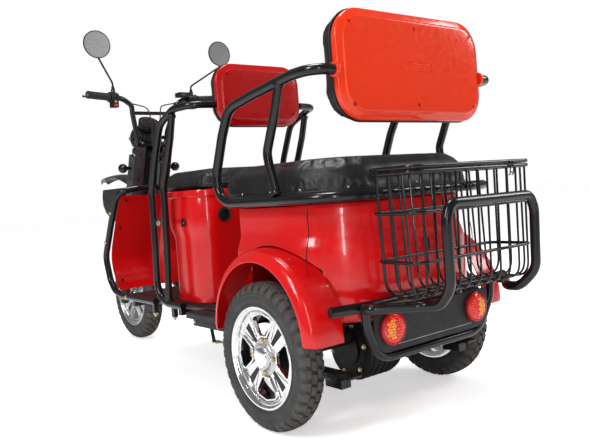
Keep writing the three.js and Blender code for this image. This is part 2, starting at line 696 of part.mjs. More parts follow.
// ---------------------------------------------------------------- rear bumper and tail plate
const CROSS_Z = 350;
const hangerSide = [[256, 304, CROSS_Z], [250, 302, 300], [205, 290, 206]];
const hangerLine = [...hangerSide, ...mirrored(hangerSide).reverse()];
function rearCrossTube() {
  const bar = tube([[-350, 283, CROSS_Z], [-240, 306, CROSS_Z], [240, 306, CROSS_Z], [350, 283, CROSS_Z]],
    REST_RADIUS, { bend: 80 });
  const hanger = tube(hangerLine, 12, { bend: 60 });
  const stays = [1, -1].map((side) => (
    block(span(side, RAIL_X - 12, RAIL_X + 12), [263, 296], [RAIL_TOP - 22, RAIL_TOP - 2])));
  const webs = [1, -1].map((side) => (
    block(span(side, RAIL_X - 12, RAIL_X + 12), [293, 299], [RAIL_TOP - 22, 354])));
  return join(bar, hanger, ...webs, ...stays);
}
piece('rear_cross_tube', 'black_tube', rearCrossTube());

function rearBumper() {
  const corners = [
    [272, HOOP_REAR + REST_RADIUS + GAP, CROSS_Z], [272, 340, CROSS_Z], [170, 424, CROSS_Z],
    [163, 470, CROSS_Z], [174, 516, 400], [178, 520, 560], [160, 520, 597], [107, 520, 597],
  ];
  return tube([...corners, ...mirrored(corners).reverse()], BUMPER_RADIUS, { bend: 60 });
}
piece('rear_bumper', 'black_tube', rearBumper());

function tailPlate() {
  const outline = roundedOutline([-232, 232], [222, 331], [50, 50, 12, 12]);
  const holes = [1, -1].map((side) => rod([side * 169, 290, 283], [side * 169, 320, 283], 36, 20));
  return cut(plateAcross(outline, [304, 308]), ...holes);
}
piece('tail_plate', 'black_plastic', cut(tailPlate(), tube(hangerLine, 13, { bend: 60 })));

for (const [name, side] of [['left', 1], ['right', -1]]) {
  const socket = rod([side * 169, 300, 283], [side * 169, 309, 283], 35.4, 20);
  const lens = rod([side * 169, 308.4, 283], [side * 169, 328, 283], 43, 24);
  piece(`tail_light_${name}`, 'lamp', join(socket, lens));
}

// ---------------------------------------------------------------- foot brake
function brakePedal() {
  const shaft = rod([-130, PEDAL_Y, PEDAL_Z], [112, PEDAL_Y, PEDAL_Z], 9, 10);
  const arm = tube([
    [105, PEDAL_Y, PEDAL_Z], [105, PEDAL_Y - 20, 170], [105, PEDAL_Y - 4, 104],
  ], 7, { bend: 20 });
  const link = tube([
    [PEDAL_X, PEDAL_Y, PEDAL_Z], [PEDAL_X, PAD_Y, PEDAL_Z], [PEDAL_X, PAD_Y, 347],
  ], 7, { bend: 20 });
  const pad = slantedBlock([56, 10, 44], [PEDAL_X, PAD_Y - 2, 357], -0.35);
  return join(shaft, arm, link, pad);
}
piece('brake_pedal', 'black_tube', brakePedal());
piece('brake_rod', 'steel', join(
  rod([88, PEDAL_Y + 8, 104], [88, -80, 120], 4, 8),
  rod([84, PEDAL_Y - 2, 104], [97, PEDAL_Y - 2, 104], 6, 8),
  block([84, 92], [PEDAL_Y - 4, PEDAL_Y + 12], [100, 108]),
));

// ---------------------------------------------------------------- front fork
function forkSliders() {
  const legs = [1, -1].map((side) => {
    const x = side * FORK_HALF_WIDTH;
    const leg = rod([x, 0, -26], [x, 0, 330], SLIDER_RADIUS, 14);
    const bore = rod([x, 0, 60], [x, 0, 340], STANCHION_RADIUS + 1, 14);
    return cut(leg, bore);
  });
  const axle = rod([-FORK_HALF_WIDTH - 32, 0, 0], [FORK_HALF_WIDTH + 32, 0, 0], 8, 12);
  return join(...legs, axle);
}
piece('fork_sliders', 'black_tube', forkSliders(), fork);

function forkCrown() {
  const stanchions = [1, -1].map((side) => (
    rod([side * FORK_HALF_WIDTH, 0, 122], [side * FORK_HALF_WIDTH, 0, 733], STANCHION_RADIUS, 14)));
  const lower = block([-84, 84], [-24, FORK_OFFSET + 28], [430, 460]);
  const upper = block([-84, 84], [-STANCHION_RADIUS, 28], [712, 734]);
  const tongue = block([-38, 38], [20, FORK_OFFSET + 28], [712, 734]);
  const stem = rod([0, FORK_OFFSET, 440], [0, FORK_OFFSET, 733], 13, 14);
  return join(...stanchions, lower, upper, tongue, stem);
}
piece('fork_crown', 'black_tube', forkCrown(), fork);

// Cover plates behind and beside each leg, joined by a panel across the front.
function forkCover() {
  const plates = [1, -1].map((side) => join(
    block(span(side, 41, COVER_HALF_WIDTH), [30, 33], [475, 750]),
    block(span(side, COVER_HALF_WIDTH - 3, COVER_HALF_WIDTH), [-30, 33], [475, 700]),
  ));
  const panel = block([-COVER_HALF_WIDTH, COVER_HALF_WIDTH], [-30, -27], [475, 700]);
  return join(...plates, panel);
}
piece('fork_cover', 'grey_plastic', forkCover(), fork);

for (const [name, side] of [['left', 1], ['right', -1]]) {
  const stalk = rod([side * (COVER_HALF_WIDTH + GAP), 2, 645], [side * 120, 2, 645], 7, 8);
  piece(`turn_signal_${name}`, 'black_plastic', join(stalk, ball([side * 129, 2, 645], 22)), fork);
}

// ---------------------------------------------------------------- front mudguard and cowl
function frontMudguard() {
  const ridge = [[-1882, 772], [-1834, 787], [-1740, 795], [-1640, 795], [-1560, 780], [-1470, 752]];
  const top = ridge.map(([y, z]) => new THREE.Vector2(y, z));
  const under = [...ridge].reverse().map(([y, z]) => new THREE.Vector2(y + 4, z - 14));
  const plan = [[-15, -1884], [15, -1884], [60, -1740], [60, -1440], [-60, -1440], [-60, -1740]]
    .map(([x, y]) => new THREE.Vector2(x, y));
  const blade = plateAlong([...top, ...under], [-60, 60])
    .intersect(stack([{ outline: plan, z: 600 }, { outline: plan, z: 900 }]));
  const bracket = slantedBlock([90, 70, 60], [0, -1452, 732], -RAKE);
  return join(blade, bracket);
}
const coverRoom = new THREE.BoxGeometry(2 * COVER_HALF_WIDTH + 4, 400, 330);
coverRoom.translate(0, 169, 560);
coverRoom.applyMatrix4(new THREE.Matrix4().makeRotationX(-RAKE));
coverRoom.translate(0, -WHEELBASE, TYRE_RADIUS);
piece('front_mudguard', 'black_plastic', cut(frontMudguard(), solid(coverRoom)));

function frontCowl() {
  const layer = (halfWidth, front, rear, z) => ({
    outline: roundedOutline([-halfWidth, halfWidth], [front, rear], [26, 26, 12, 12]),
    z,
  });
  const shell = stack([
    layer(46, -1668, -1560, 548), layer(66, -1756, -1540, 610),
    layer(75, -1766, -1520, 660), layer(75, -1752, -1500, 726),
  ]);
  const inside = stack([
    layer(40, -1660, -1520, 530), layer(62, -1752, -1500, 610),
    layer(71, -1762, -1480, 660), layer(71, -1748, -1460, 718),
  ]);
  return cut(shell, inside);
}
piece('front_cowl', 'black_plastic', cut(frontCowl(), solid(coverRoom)));

// ---------------------------------------------------------------- headlight and instrument
const LAMP_Z = 943;
const LAMP_REAR = -1318;
function headlight() {
  const points = [[0, 0], [24, 3], [42, 18], [60, 42], [65, 62], [65, 74], [58, 80], [0, 86]]
    .map(([radius, along]) => new THREE.Vector2(radius, along));
  const geometry = new THREE.LatheGeometry(points, 20);
  geometry.rotateX(Math.PI);
  geometry.translate(0, LAMP_REAR, LAMP_Z);
  const lugs = [1, -1].map((side) => block(span(side, 50, 80), [-1372, -1316.5], [936, 950]));
  return join(solid(geometry), ...lugs);
}
piece('headlight', 'black_plastic', headlight());
piece('instrument', 'black_plastic', join(
  rod([0, -1335, 988], [0, -1318, 1010.7], 47, 20),
  rod([0, -1320, 1008], [0, -1316.4, 1012.8], 49, 20),
));

// ---------------------------------------------------------------- handlebar and controls
// A point on the centre line of a grip, measured outward from its inner end.
function alongGrip(side, distance) {
  const start = vector(GRIP_START);
  const direction = vector(GRIP_END).sub(start).normalize();
  const point = start.addScaledVector(direction, distance);
  return [side * point.x, point.y, point.z];
}

function handlebar() {
  const half = [
    [0, -1310, 905], [70, -1310, 905], [76, -1300, 965], [98, -1276, 1046], [104, -1264, 1078],
    [145, -1266.5, 1107.7], GRIP_START, GRIP_END,
  ];
  const bar = tube([...[...half].reverse(), ...mirrored(half).slice(1)], BAR_RADIUS, { bend: 36 });
  const brace = rod([-98, -1276, 1046], [98, -1276, 1046], 8, 8);
  const clamps = [1, -1].map((side) => slantedBlock([24, 30, 30], [side * 50, -1310.4, 904.2], -RAKE));
  return join(bar, brace, ...clamps);
}
piece('handlebar', 'black_tube', handlebar());

function grip(side) {
  const sleeve = rod(alongGrip(side, 4), alongGrip(side, GRIP_LENGTH), GRIP_RADIUS, 14);
  const bore = rod(alongGrip(side, -6), alongGrip(side, GRIP_LENGTH - 4), BAR_RADIUS + 2 * GAP, 12);
  return cut(sleeve, bore);
}
piece('grip_left', 'rubber', grip(1));
piece('throttle_grip', 'rubber', grip(-1));

// The clamp that holds the lever, the switches and the mirror on each side.
function switchPod(side) {
  const housing = rod(alongGrip(side, -40), alongGrip(side, 1), 23, 12);
  const [x, y, z] = alongGrip(side, -24);
  const reach = Math.abs(x);
  const below = block(span(side, reach - 16, reach + 14), [y - 16, y + 20], [z - 44, z - 8]);
  const perch = block(span(side, reach - 12, reach + 8), [y - 46, y - 8], [z - 9, z + 9]);
  const socket = rod([x, y, z + 14], [x, y, z + 38], 9, 8);
  const slot = block(span(side, reach - 20, reach + 16), [y - 50, y - 30], [z - 3.6, z + 3.6]);
  const bore = rod(alongGrip(side, -50), alongGrip(side, 10), BAR_RADIUS + 2 * GAP, 12);
  return cut(join(housing, below, perch, socket), bore, slot);
}
piece('switch_pod_left', 'black_plastic', switchPod(1));
const key = block([-190, -120], [-1284, -1240], [1119.5, 1141]);
const keyRoom = rod(alongGrip(-1, -60), alongGrip(-1, 10), BAR_RADIUS + 2 * GAP, 12);
piece('switch_pod_right', 'black_plastic', join(switchPod(-1), cut(key, keyRoom)));

function brakeLever(side) {
  const [x, y, z] = alongGrip(side, -26);
  const [tipX, tipY, tipZ] = alongGrip(side, 112);
  return tube([
    [x, y - 40, z], [x + side * 22, y - 48, z], [x + side * 50, y - 50, z], [tipX, tipY - 44, tipZ],
  ], 3.2, { bend: 20, sides: 6 });
}
piece('brake_lever_left', 'steel', brakeLever(1));
piece('brake_lever_right', 'steel', brakeLever(-1));

const MIRROR_X = 290;
const MIRROR_Y = -1150;
const MIRROR_Z = 1307;
const MIRROR_RADIUS = 57;
function mirror(side) {
  const [x, y, z] = alongGrip(side, -24);
  const stem = tube([
    [x, y, z + 38 + GAP], [x, y, z + 62], [side * 286, MIRROR_Y + 6, MIRROR_Z - MIRROR_RADIUS - 4],
    [side * MIRROR_X, MIRROR_Y - 8, MIRROR_Z - 30],
  ], 4, { bend: 16 });
  const centre = side * MIRROR_X;
  const head = rod([centre, MIRROR_Y - 12, MIRROR_Z], [centre, MIRROR_Y + 4, MIRROR_Z], MIRROR_RADIUS, 20);
  return join(stem, head);
}
piece('mirror_left', 'black_plastic', mirror(1));
piece('mirror_right', 'black_plastic', mirror(-1));

function brakeCables() {
  const runs = [1, -1].map((side) => {
    const [x, y, z] = alongGrip(side, -28);
    return tube([
      [x - side * 14, y - 34, z], [x - side * 40, y - 48, z - 2], [side * 116, -1300, 1096],
      [side * 60, -1300, 1086], [side * 30, -1258, 1068], [side * 20, -1254, 1000], [side * 16, -1268, 912],
    ], 2.8, { bend: 30 });
  });
  const guide = block([-26, 26], [-1277, -1260], [898, 914]);
  return join(...runs, guide);
}
piece('brake_cables', 'rubber', brakeCables());

// ---------------------------------------------------------------- origin at the middle of the footprint
tricycle.updateMatrixWorld(true);
const extent = new THREE.Box3().setFromObject(tricycle, true);
vehicle.position.set(-(extent.min.x + extent.max.x) / 2, -(extent.min.y + extent.max.y) / 2, -extent.min.z);

export default tricycle;
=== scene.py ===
"""An electric passenger tricycle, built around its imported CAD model.

Lengths in the helpers' arguments are millimetres from the rear axle line and the ground,
with +X to the rider's left and -Y forward. Blender's own units are metres.
"""
import math

import bmesh
import bpy
import mathutils
from mathutils import Matrix, Vector
from mathutils.bvhtree import BVHTree


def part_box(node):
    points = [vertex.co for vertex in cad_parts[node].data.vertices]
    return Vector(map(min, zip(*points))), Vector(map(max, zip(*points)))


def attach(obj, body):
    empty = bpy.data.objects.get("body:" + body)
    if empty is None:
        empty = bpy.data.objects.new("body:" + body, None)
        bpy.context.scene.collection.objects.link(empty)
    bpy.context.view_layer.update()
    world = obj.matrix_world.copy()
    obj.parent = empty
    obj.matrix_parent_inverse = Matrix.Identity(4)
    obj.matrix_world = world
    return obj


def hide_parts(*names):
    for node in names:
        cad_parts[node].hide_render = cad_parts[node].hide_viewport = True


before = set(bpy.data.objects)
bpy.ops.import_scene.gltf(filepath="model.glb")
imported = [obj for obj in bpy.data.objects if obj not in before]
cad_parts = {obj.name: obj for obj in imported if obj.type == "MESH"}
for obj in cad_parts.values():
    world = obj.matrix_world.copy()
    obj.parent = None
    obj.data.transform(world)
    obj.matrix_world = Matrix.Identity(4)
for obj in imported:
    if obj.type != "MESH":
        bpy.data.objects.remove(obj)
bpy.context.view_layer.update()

AXLE_Y = sum(corner[1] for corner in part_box("rim_rear_left")) / 2

RAKE = math.radians(20.7)
WHEELBASE = 1580
WHEEL_Z = 205
HALF_TRACK = 339


def at(x, y, z):
    """A point given in millimetres from the rear axle line and the ground."""
    return Vector((x / 1000, y / 1000 + AXLE_Y, z / 1000))


def in_fork(x, y, z):
    """A point given in the fork's own axes: z up along the fork, y towards the rear."""
    cosine, sine = math.cos(RAKE), math.sin(RAKE)
    return (x, -WHEELBASE + y * cosine + z * sine, WHEEL_Z - y * sine + z * cosine)


# ---------------------------------------------------------------- materials
class Nodes:
    """A new material and short calls that add nodes to it."""

    def __init__(self, name, color, roughness=0.5, metallic=0.0, **sockets):
        self.material = bpy.data.materials.new(name)
        self.material.use_nodes = True
        self.tree = self.material.node_tree
        self.shader = self.tree.nodes["Principled BSDF"]
        self.shader.inputs["Base Color"].default_value = (*color, 1)
        self.shader.inputs["Roughness"].default_value = roughness
        self.shader.inputs["Metallic"].default_value = metallic
        for socket, value in sockets.items():
            self.shader.inputs[socket.replace("_", " ")].default_value = value
        self.coordinates = self.tree.nodes.new("ShaderNodeTexCoord").outputs["Object"]
        self.height = None

    def link(self, source, target):
        self.tree.links.new(source, target)

    def noise(self, scale, detail=3.0, roughness=0.5, stretch=None):
        node = self.tree.nodes.new("ShaderNodeTexNoise")
        node.inputs["Scale"].default_value = scale
        node.inputs["Detail"].default_value = detail
        node.inputs["Roughness"].default_value = roughness
        self.link(self.mapped(stretch), node.inputs["Vector"])
        return node.outputs["Fac"]

    def cells(self, scale, feature="F1", stretch=None):
        node = self.tree.nodes.new("ShaderNodeTexVoronoi")
        node.feature = feature
        node.inputs["Scale"].default_value = scale
        self.link(self.mapped(stretch), node.inputs["Vector"])
        return node.outputs["Distance"]

    def mapped(self, stretch):
        if stretch is None:
            return self.coordinates
        node = self.tree.nodes.new("ShaderNodeMapping")
        node.inputs["Scale"].default_value = stretch
        self.link(self.coordinates, node.inputs["Vector"])
        return node.outputs["Vector"]

    def ranged(self, source, low, high, start=0.3, end=0.7):
        node = self.tree.nodes.new("ShaderNodeMapRange")
        for socket, value in zip(("From Min", "From Max", "To Min", "To Max"), (start, end, low, high)):
            node.inputs[socket].default_value = value
        self.link(source, node.inputs["Value"])
        return node.outputs["Result"]

    def vary_color(self, source, first, second, start=0.35, end=0.65):
        node = self.tree.nodes.new("ShaderNodeMix")
        node.data_type = "RGBA"
        node.inputs["A"].default_value = (*first, 1)
        node.inputs["B"].default_value = (*second, 1)
        self.link(self.ranged(source, 0, 1, start, end), node.inputs["Factor"])
        self.link(node.outputs["Result"], self.shader.inputs["Base Color"])

    def vary_roughness(self, source, low, high, start=0.3, end=0.7):
        self.link(self.ranged(source, low, high, start, end), self.shader.inputs["Roughness"])

    def bump(self, source, distance, strength=1.0):
        node = self.tree.nodes.new("ShaderNodeBump")
        node.inputs["Distance"].default_value = distance
        node.inputs["Strength"].default_value = strength
        self.link(source, node.inputs["Height"])
        if self.height:
            self.link(self.height, node.inputs["Normal"])
        self.height = node.outputs["Normal"]
        self.link(self.height, self.shader.inputs["Normal"])


def shade(color, factor):
    return tuple(channel * factor for channel in color)


def gloss_paint(name, color, roughness=0.16):
    nodes = Nodes(name, color, roughness, Coat_Weight=0.35, Coat_Roughness=0.04, Specular_IOR_Level=0.35)
    nodes.vary_color(nodes.noise(5, 4), shade(color, 0.93), color)
    nodes.vary_roughness(nodes.noise(60, 5), roughness * 0.8, roughness * 1.7)
    nodes.bump(nodes.noise(260, 2), 0.00006)
    return nodes.material


def enamel(name, color):
    nodes = Nodes(name, color, 0.24, Coat_Weight=0.3, Coat_Roughness=0.1, Specular_IOR_Level=0.28)
    nodes.vary_roughness(nodes.noise(60, 4), 0.2, 0.27)
    nodes.vary_color(nodes.noise(12, 3), shade(color, 0.85), shade(color, 1.25))
    nodes.bump(nodes.noise(300, 2), 0.00002)
    return nodes.material


def grained_plastic(name, color, roughness=0.45, grain=900, depth=0.00015):
    nodes = Nodes(name, color, roughness, Specular_IOR_Level=0.28)
    nodes.vary_color(nodes.noise(18, 4), shade(color, 0.8), shade(color, 1.25))
    nodes.vary_roughness(nodes.noise(140, 4), roughness * 0.85, roughness * 1.2)
    nodes.bump(nodes.cells(grain), depth, 0.6)
    return nodes.material


def leather(name, color):
    nodes = Nodes(name, color, 0.42, Specular_IOR_Level=0.5)
    nodes.vary_color(nodes.noise(14, 5), shade(color, 0.75), shade(color, 1.35))
    nodes.vary_roughness(nodes.noise(70, 4), 0.36, 0.46)
    nodes.bump(nodes.noise(26, 3, stretch=(1, 1, 0.4)), 0.0006, 0.25)
    nodes.bump(nodes.cells(520), 0.0005, 0.75)
    return nodes.material


def rubber(name, color, roughness=0.75):
    nodes = Nodes(name, color, roughness)
    nodes.vary_color(nodes.noise(28, 5), shade(color, 0.8), shade(color, 1.4))
    nodes.vary_roughness(nodes.noise(90, 4), roughness * 0.85, roughness * 1.1)
    nodes.bump(nodes.noise(700, 3), 0.0003, 0.5)
    return nodes.material


def metal(name, color, roughness=0.18, grain=(1, 1, 1), depth=0.00008):
    nodes = Nodes(name, color, roughness, 1.0)
    nodes.vary_roughness(nodes.noise(220, 4, stretch=grain), roughness * 0.7, roughness * 1.6)
    nodes.vary_color(nodes.noise(40, 4), shade(color, 0.9), color)
    nodes.bump(nodes.noise(500, 2, stretch=grain), depth)
    return nodes.material


def lens(name, color):
    nodes = Nodes(name, color, 0.14, Coat_Weight=0.5, Coat_Roughness=0.03, Emission_Color=(*color, 1),
                  Emission_Strength=0.22)
    nodes.vary_color(nodes.cells(150), shade(color, 1.0), shade(color, 0.55), 0.0, 0.7)
    nodes.bump(nodes.cells(150), 0.0015, 0.8)
    return nodes.material


def glass(name, dark, bright):
    """Silvered glass with a painted reflection: its colour drifts slowly between a dark and a bright grey.
    """
    nodes = Nodes(name, bright, 0.05, 0.45)
    nodes.vary_color(nodes.noise(3.2, 1), dark, bright, 0.3, 0.7)
    nodes.vary_roughness(nodes.noise(60, 3), 0.03, 0.09)
    nodes.bump(nodes.noise(8, 1), 0.0002)
    return nodes.material


RED = (0.62, 0.004, 0.005)
ORANGE_RED = (0.80, 0.036, 0.004)
BLACK = (0.012, 0.012, 0.013)
red_paint = gloss_paint("red_paint", RED)
red_plastic = gloss_paint("red_plastic", ORANGE_RED, 0.14)
# A darker copy of the red for the driver's backrest: painted shade.
shaded_backrest_red = gloss_paint("shaded_backrest_red", (0.42, 0.002, 0.002), 0.16)
# Besides its own parts, dark_red serves as painted shade inside the passenger body.
dark_red = gloss_paint("dark_red", (0.36, 0.006, 0.006), 0.2)
black_tube = enamel("black_tube", (0.005, 0.005, 0.006))
gloss_black = enamel("gloss_black", (0.004, 0.004, 0.005))
black_plastic = grained_plastic("black_plastic", (0.009, 0.009, 0.010))
dark_plastic = grained_plastic("dark_plastic", (0.020, 0.020, 0.022), 0.5, 260, 0.0004)
grey_plastic = grained_plastic("grey_plastic", (0.05, 0.05, 0.053), 0.5)
light_grey = grained_plastic("light_grey", (0.34, 0.35, 0.36), 0.4)
black_leather = leather("black_leather", (0.006, 0.006, 0.006))
piping_leather = leather("piping_leather", (0.008, 0.008, 0.009))
tyre_rubber = rubber("tyre_rubber", (0.028, 0.028, 0.029), 0.62)
tread_rubber = rubber("tread_rubber", (0.060, 0.054, 0.048), 0.8)
mat_rubber = rubber("mat_rubber", (0.012, 0.012, 0.013), 0.35)
grip_rubber = rubber("grip_rubber", (0.010, 0.010, 0.010), 0.55)
cable_rubber = rubber("cable_rubber", (0.010, 0.010, 0.010), 0.4)
polished = metal("polished_alloy", (0.86, 0.87, 0.88), 0.12)
cast_alloy = metal("cast_alloy", (0.62, 0.63, 0.64), 0.3, depth=0.0003)
wheel_black = grained_plastic("wheel_black", (0.004, 0.004, 0.004), 0.34, 500, 0.0001)
zinc = metal("zinc", (0.72, 0.62, 0.42), 0.25)
steel = metal("steel", (0.60, 0.60, 0.62), 0.3, (1, 8, 1))
chrome = metal("chrome", (0.92, 0.92, 0.93), 0.05)
mirror_glass = glass("mirror_glass", (0.30, 0.31, 0.32), (0.66, 0.67, 0.68))
red_lens = lens("red_lens", (0.85, 0.012, 0.006))
amber_lens = lens("amber_lens", (1.0, 0.46, 0.01))
clear_lens = lens("clear_lens", (0.7, 0.72, 0.74))


# ---------------------------------------------------------------- shapes
def rounded(corners, bend, steps=8, closed=False):
    """Points of a line through the corners, with each inner corner rounded."""
    points = [Vector(corner) for corner in corners]
    count = len(points)
    line = []
    for index, point in enumerate(points):
        if not closed and index in (0, count - 1):
            line.append(point)
            continue
        before = points[index - 1] - point
        after = points[(index + 1) % count] - point
        angle = math.pi - before.angle(after)
        if angle < 0.02:
            line.append(point)
            continue
        room = 0.48 * min(before.length, after.length)
        reach = min(bend * math.tan(angle / 2), room)
        start = point + before.normalized() * reach
        end = point + after.normalized() * reach
        for k in range(steps + 1):
            t = k / steps
            line.append(start * (1 - t) ** 2 + point * 2 * t * (1 - t) + end * t * t)
    return line


def spaced(line, gap):
    """The same line with its long straight lengths divided."""
    line = [Vector(point) for point in line]
    result = [line[0]]
    for first, second in zip(line, line[1:]):
        parts = max(1, int((second - first).length / gap))
        result += [first.lerp(second, (k + 1) / parts) for k in range(parts)]
    return result


def mirror_x(corners):
    return [(-x, y, z) for x, y, z in corners]


def sided(side, corners):
    return list(corners) if side > 0 else mirror_x(corners)


def outline(low, high, radii, steps=10, power=2.0):
    """A rectangle's outline with corner radii: low-low, high-low, high-high, low-high."""
    (u0, v0), (u1, v1) = low, high
    centres = [(u0, v0, 1, 1), (u1, v0, -1, 1), (u1, v1, -1, -1), (u0, v1, 1, -1)]
    points = []
    for corner, ((u, v, inward_u, inward_v), radius) in enumerate(zip(centres, radii)):
        for k in range(steps + 1):
            angle = math.pi + (corner + k / steps) * math.pi / 2
            cosine, sine = math.cos(angle), math.sin(angle)
            du = math.copysign(abs(cosine) ** (2 / power), cosine)
            dv = math.copysign(abs(sine) ** (2 / power), sine)
            points.append((u + radius * (inward_u + du), v + radius * (inward_v + dv)))
    return points


class Shape:
    """Several closed forms gathered into one mesh. Points are in millimetres."""

    def __init__(self):
        self.points = []
        self.faces = []
        self.face_materials = []
        self.material = 0

    def use(self, material):
        self.material = material
        return self

    def add(self, points, faces):
        start = len(self.points)
        self.points += [Vector(point) for point in points]
        self.faces += [tuple(start + index for index in face) for face in faces]
        self.face_materials += [self.material] * len(faces)
        return self

    def loft(self, rings, caps=True, closed=False):
        """Skins rings of equal length; caps closes the two ends."""
        count = len(rings[0])
        points = [point for ring in rings for point in ring]
        faces = []
        last = len(rings) if closed else len(rings) - 1
        for level in range(last):
            low, high = level * count, ((level + 1) % len(rings)) * count
            for k in range(count):
                following = (k + 1) % count
                faces.append((low + k, low + following, high + following, high + k))
        if caps and not closed:
            faces.append(tuple(reversed(range(count))))
            top = (len(rings) - 1) * count
            faces.append(tuple(range(top, top + count)))
        return self.add(points, faces)

    def sweep(self, line, section, closed=False, up=None, caps=True):
        """A section of (side, up) points carried along a line."""
        line = [Vector(point) for point in line]
        count = len(line)
        tangents = []
        for index in range(count):
            before = line[index - 1] if closed or index else line[index]
            after = line[(index + 1) % count] if closed or index < count - 1 else line[index]
            tangents.append((after - before).normalized())
        side = tangents[0].cross(Vector(up) if up else tangents[0].orthogonal()).normalized()
        rings = []
        for point, tangent in zip(line, tangents):
            if up:
                side = tangent.cross(Vector(up)).normalized()
            else:
                side = (side - tangent * side.dot(tangent)).normalized()
            top = side.cross(tangent)
            rings.append([point + side * a + top * b for a, b in section])
        return self.loft(rings, caps, closed)

    def tube(self, corners, radius, bend=50, sides=18, closed=False, gap=60):
        line = rounded(corners, bend, closed=closed)
        section = [
            (radius * math.cos(2 * math.pi * k / sides), radius * math.sin(2 * math.pi * k / sides))
            for k in range(sides)
        ]
        return self.sweep(line if closed else spaced(line, gap), section, closed)

    def lathe(self, profile, origin, axis, segments=48, closed=False):
        """Turns (radius, along) points about an axis."""
        axis = Vector(axis).normalized()
        first = axis.orthogonal().normalized()
        second = axis.cross(first)
        origin = Vector(origin)
        rings = []
        for radius, along in profile:
            ring = []
            for k in range(segments):
                angle = 2 * math.pi * k / segments
                spoke = first * math.cos(angle) + second * math.sin(angle)
                ring.append(origin + axis * along + spoke * max(radius, 0.01))
            rings.append(ring)
        return self.loft(rings, not closed, closed)

    def rod(self, start, end, radius, segments=20, edge=0.8):
        start, end = Vector(start), Vector(end)
        length = (end - start).length
        edge = min(edge, radius / 2, length / 3)
        profile = [(radius - edge, 0), (radius, edge), (radius, length - edge), (radius - edge, length)]
        return self.lathe(profile, start, end - start, segments)

    def box(self, low, high, turn=None, about=None):
        corners = [(x, y, z) for x in (low[0], high[0]) for y in (low[1], high[1]) for z in (low[2],
                                                                                             high[2])]
        points = [Vector(corner) for corner in corners]
        if turn is not None:
            centre = Vector(about or [(a + b) / 2 for a, b in zip(low, high)])
            points = [centre + turn @ (point - centre) for point in points]
        faces = [(0, 1, 3, 2), (4, 6, 7, 5), (0, 4, 5, 1), (2, 3, 7, 6), (0, 2, 6, 4), (1, 5, 7, 3)]
        return self.add(points, faces)

    def hexagon(self, centre, axis, width, height):
        """A hexagonal bolt head or nut with a rounded top and a washer."""
        radius = width / math.sqrt(3)
        self.lathe([(radius * 1.25, 0), (radius * 1.25, height * 0.2)], centre, axis, 24)
        self.lathe([(radius, height * 0.2), (radius, height * 0.8), (radius * 0.85, height)],
                   centre, axis, 6)
        return self

    def screw(self, centre, axis, radius):
        """A domed cross-head screw."""
        profile = [(radius, 0), (radius, radius * 0.2), (radius * 0.75, radius * 0.5), (0, radius * 0.6)]
        return self.lathe(profile, centre, axis, 20)

    def ball(self, centre, radius, squash=1.0, segments=24):
        steps = 12
        profile = [
            (radius * math.sin(math.pi * k / steps), -radius * squash * math.cos(math.pi * k / steps))
            for k in range(steps + 1)
        ]
        return self.lathe(profile, centre, (0, 0, 1), segments)

    def done(self, name, materials, body, replaces=(), bevel=0.0, subdivide=0, sharp=35, merge=True):
        mesh = bpy.data.meshes.new(name)
        mesh.from_pydata([at(*point) for point in self.points], [], self.faces)
        for polygon, index in zip(mesh.polygons, self.face_materials):
            polygon.material_index = index
        working = bmesh.new()
        working.from_mesh(mesh)
        if merge:
            bmesh.ops.remove_doubles(working, verts=working.verts, dist=0.00002)
        bmesh.ops.recalc_face_normals(working, faces=working.faces)
        working.to_mesh(mesh)
        working.free()
        return placed(name, mesh, materials, body, replaces, bevel, subdivide, sharp)


def placed(name, mesh, materials, body, replaces=(), bevel=0.0, subdivide=0, sharp=35):
    piece = bpy.data.objects.new(name, mesh)
    bpy.context.scene.collection.objects.link(piece)
    for material in materials if isinstance(materials, (list, tuple)) else [materials]:
        mesh.materials.append(material)
    mesh.shade_smooth()
    mesh.set_sharp_from_angle(angle=math.radians(sharp))
    if bevel:
        modifier = piece.modifiers.new("edge", "BEVEL")
        modifier.width = bevel / 1000
        modifier.segments = 3
        modifier.limit_method = "ANGLE"
        modifier.angle_limit = math.radians(sharp)
        modifier.harden_normals = False
    if subdivide:
        modifier = piece.modifiers.new("smooth", "SUBSURF")
        modifier.levels = subdivide
        modifier.render_levels = subdivide
    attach(piece, body)
    if replaces:
        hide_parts(*([replaces] if isinstance(replaces, str) else replaces))
    return piece


def frozen(piece):
    """Applies a piece's modifiers to its mesh."""
    graph = bpy.context.evaluated_depsgraph_get()
    mesh = bpy.data.meshes.new_from_object(piece.evaluated_get(graph))
    piece.modifiers.clear()
    piece.data = mesh
    return piece


def carved(piece, tool, operation="DIFFERENCE"):
    """Cuts a shape away from a piece."""
    mesh = bpy.data.meshes.new("tool")
    mesh.from_pydata([at(*point) for point in tool.points], [], tool.faces)
    working = bmesh.new()
    working.from_mesh(mesh)
    bmesh.ops.recalc_face_normals(working, faces=working.faces)
    working.to_mesh(mesh)
    working.free()
    cutter = bpy.data.objects.new("tool", mesh)
    bpy.context.scene.collection.objects.link(cutter)
    modifier = piece.modifiers.new("cut", "BOOLEAN")
    modifier.operation = operation
    modifier.object = cutter
    modifier.solver = "EXACT"
    frozen(piece)
    bpy.data.objects.remove(cutter)
    return piece


# ---------------------------------------------------------------- wheels


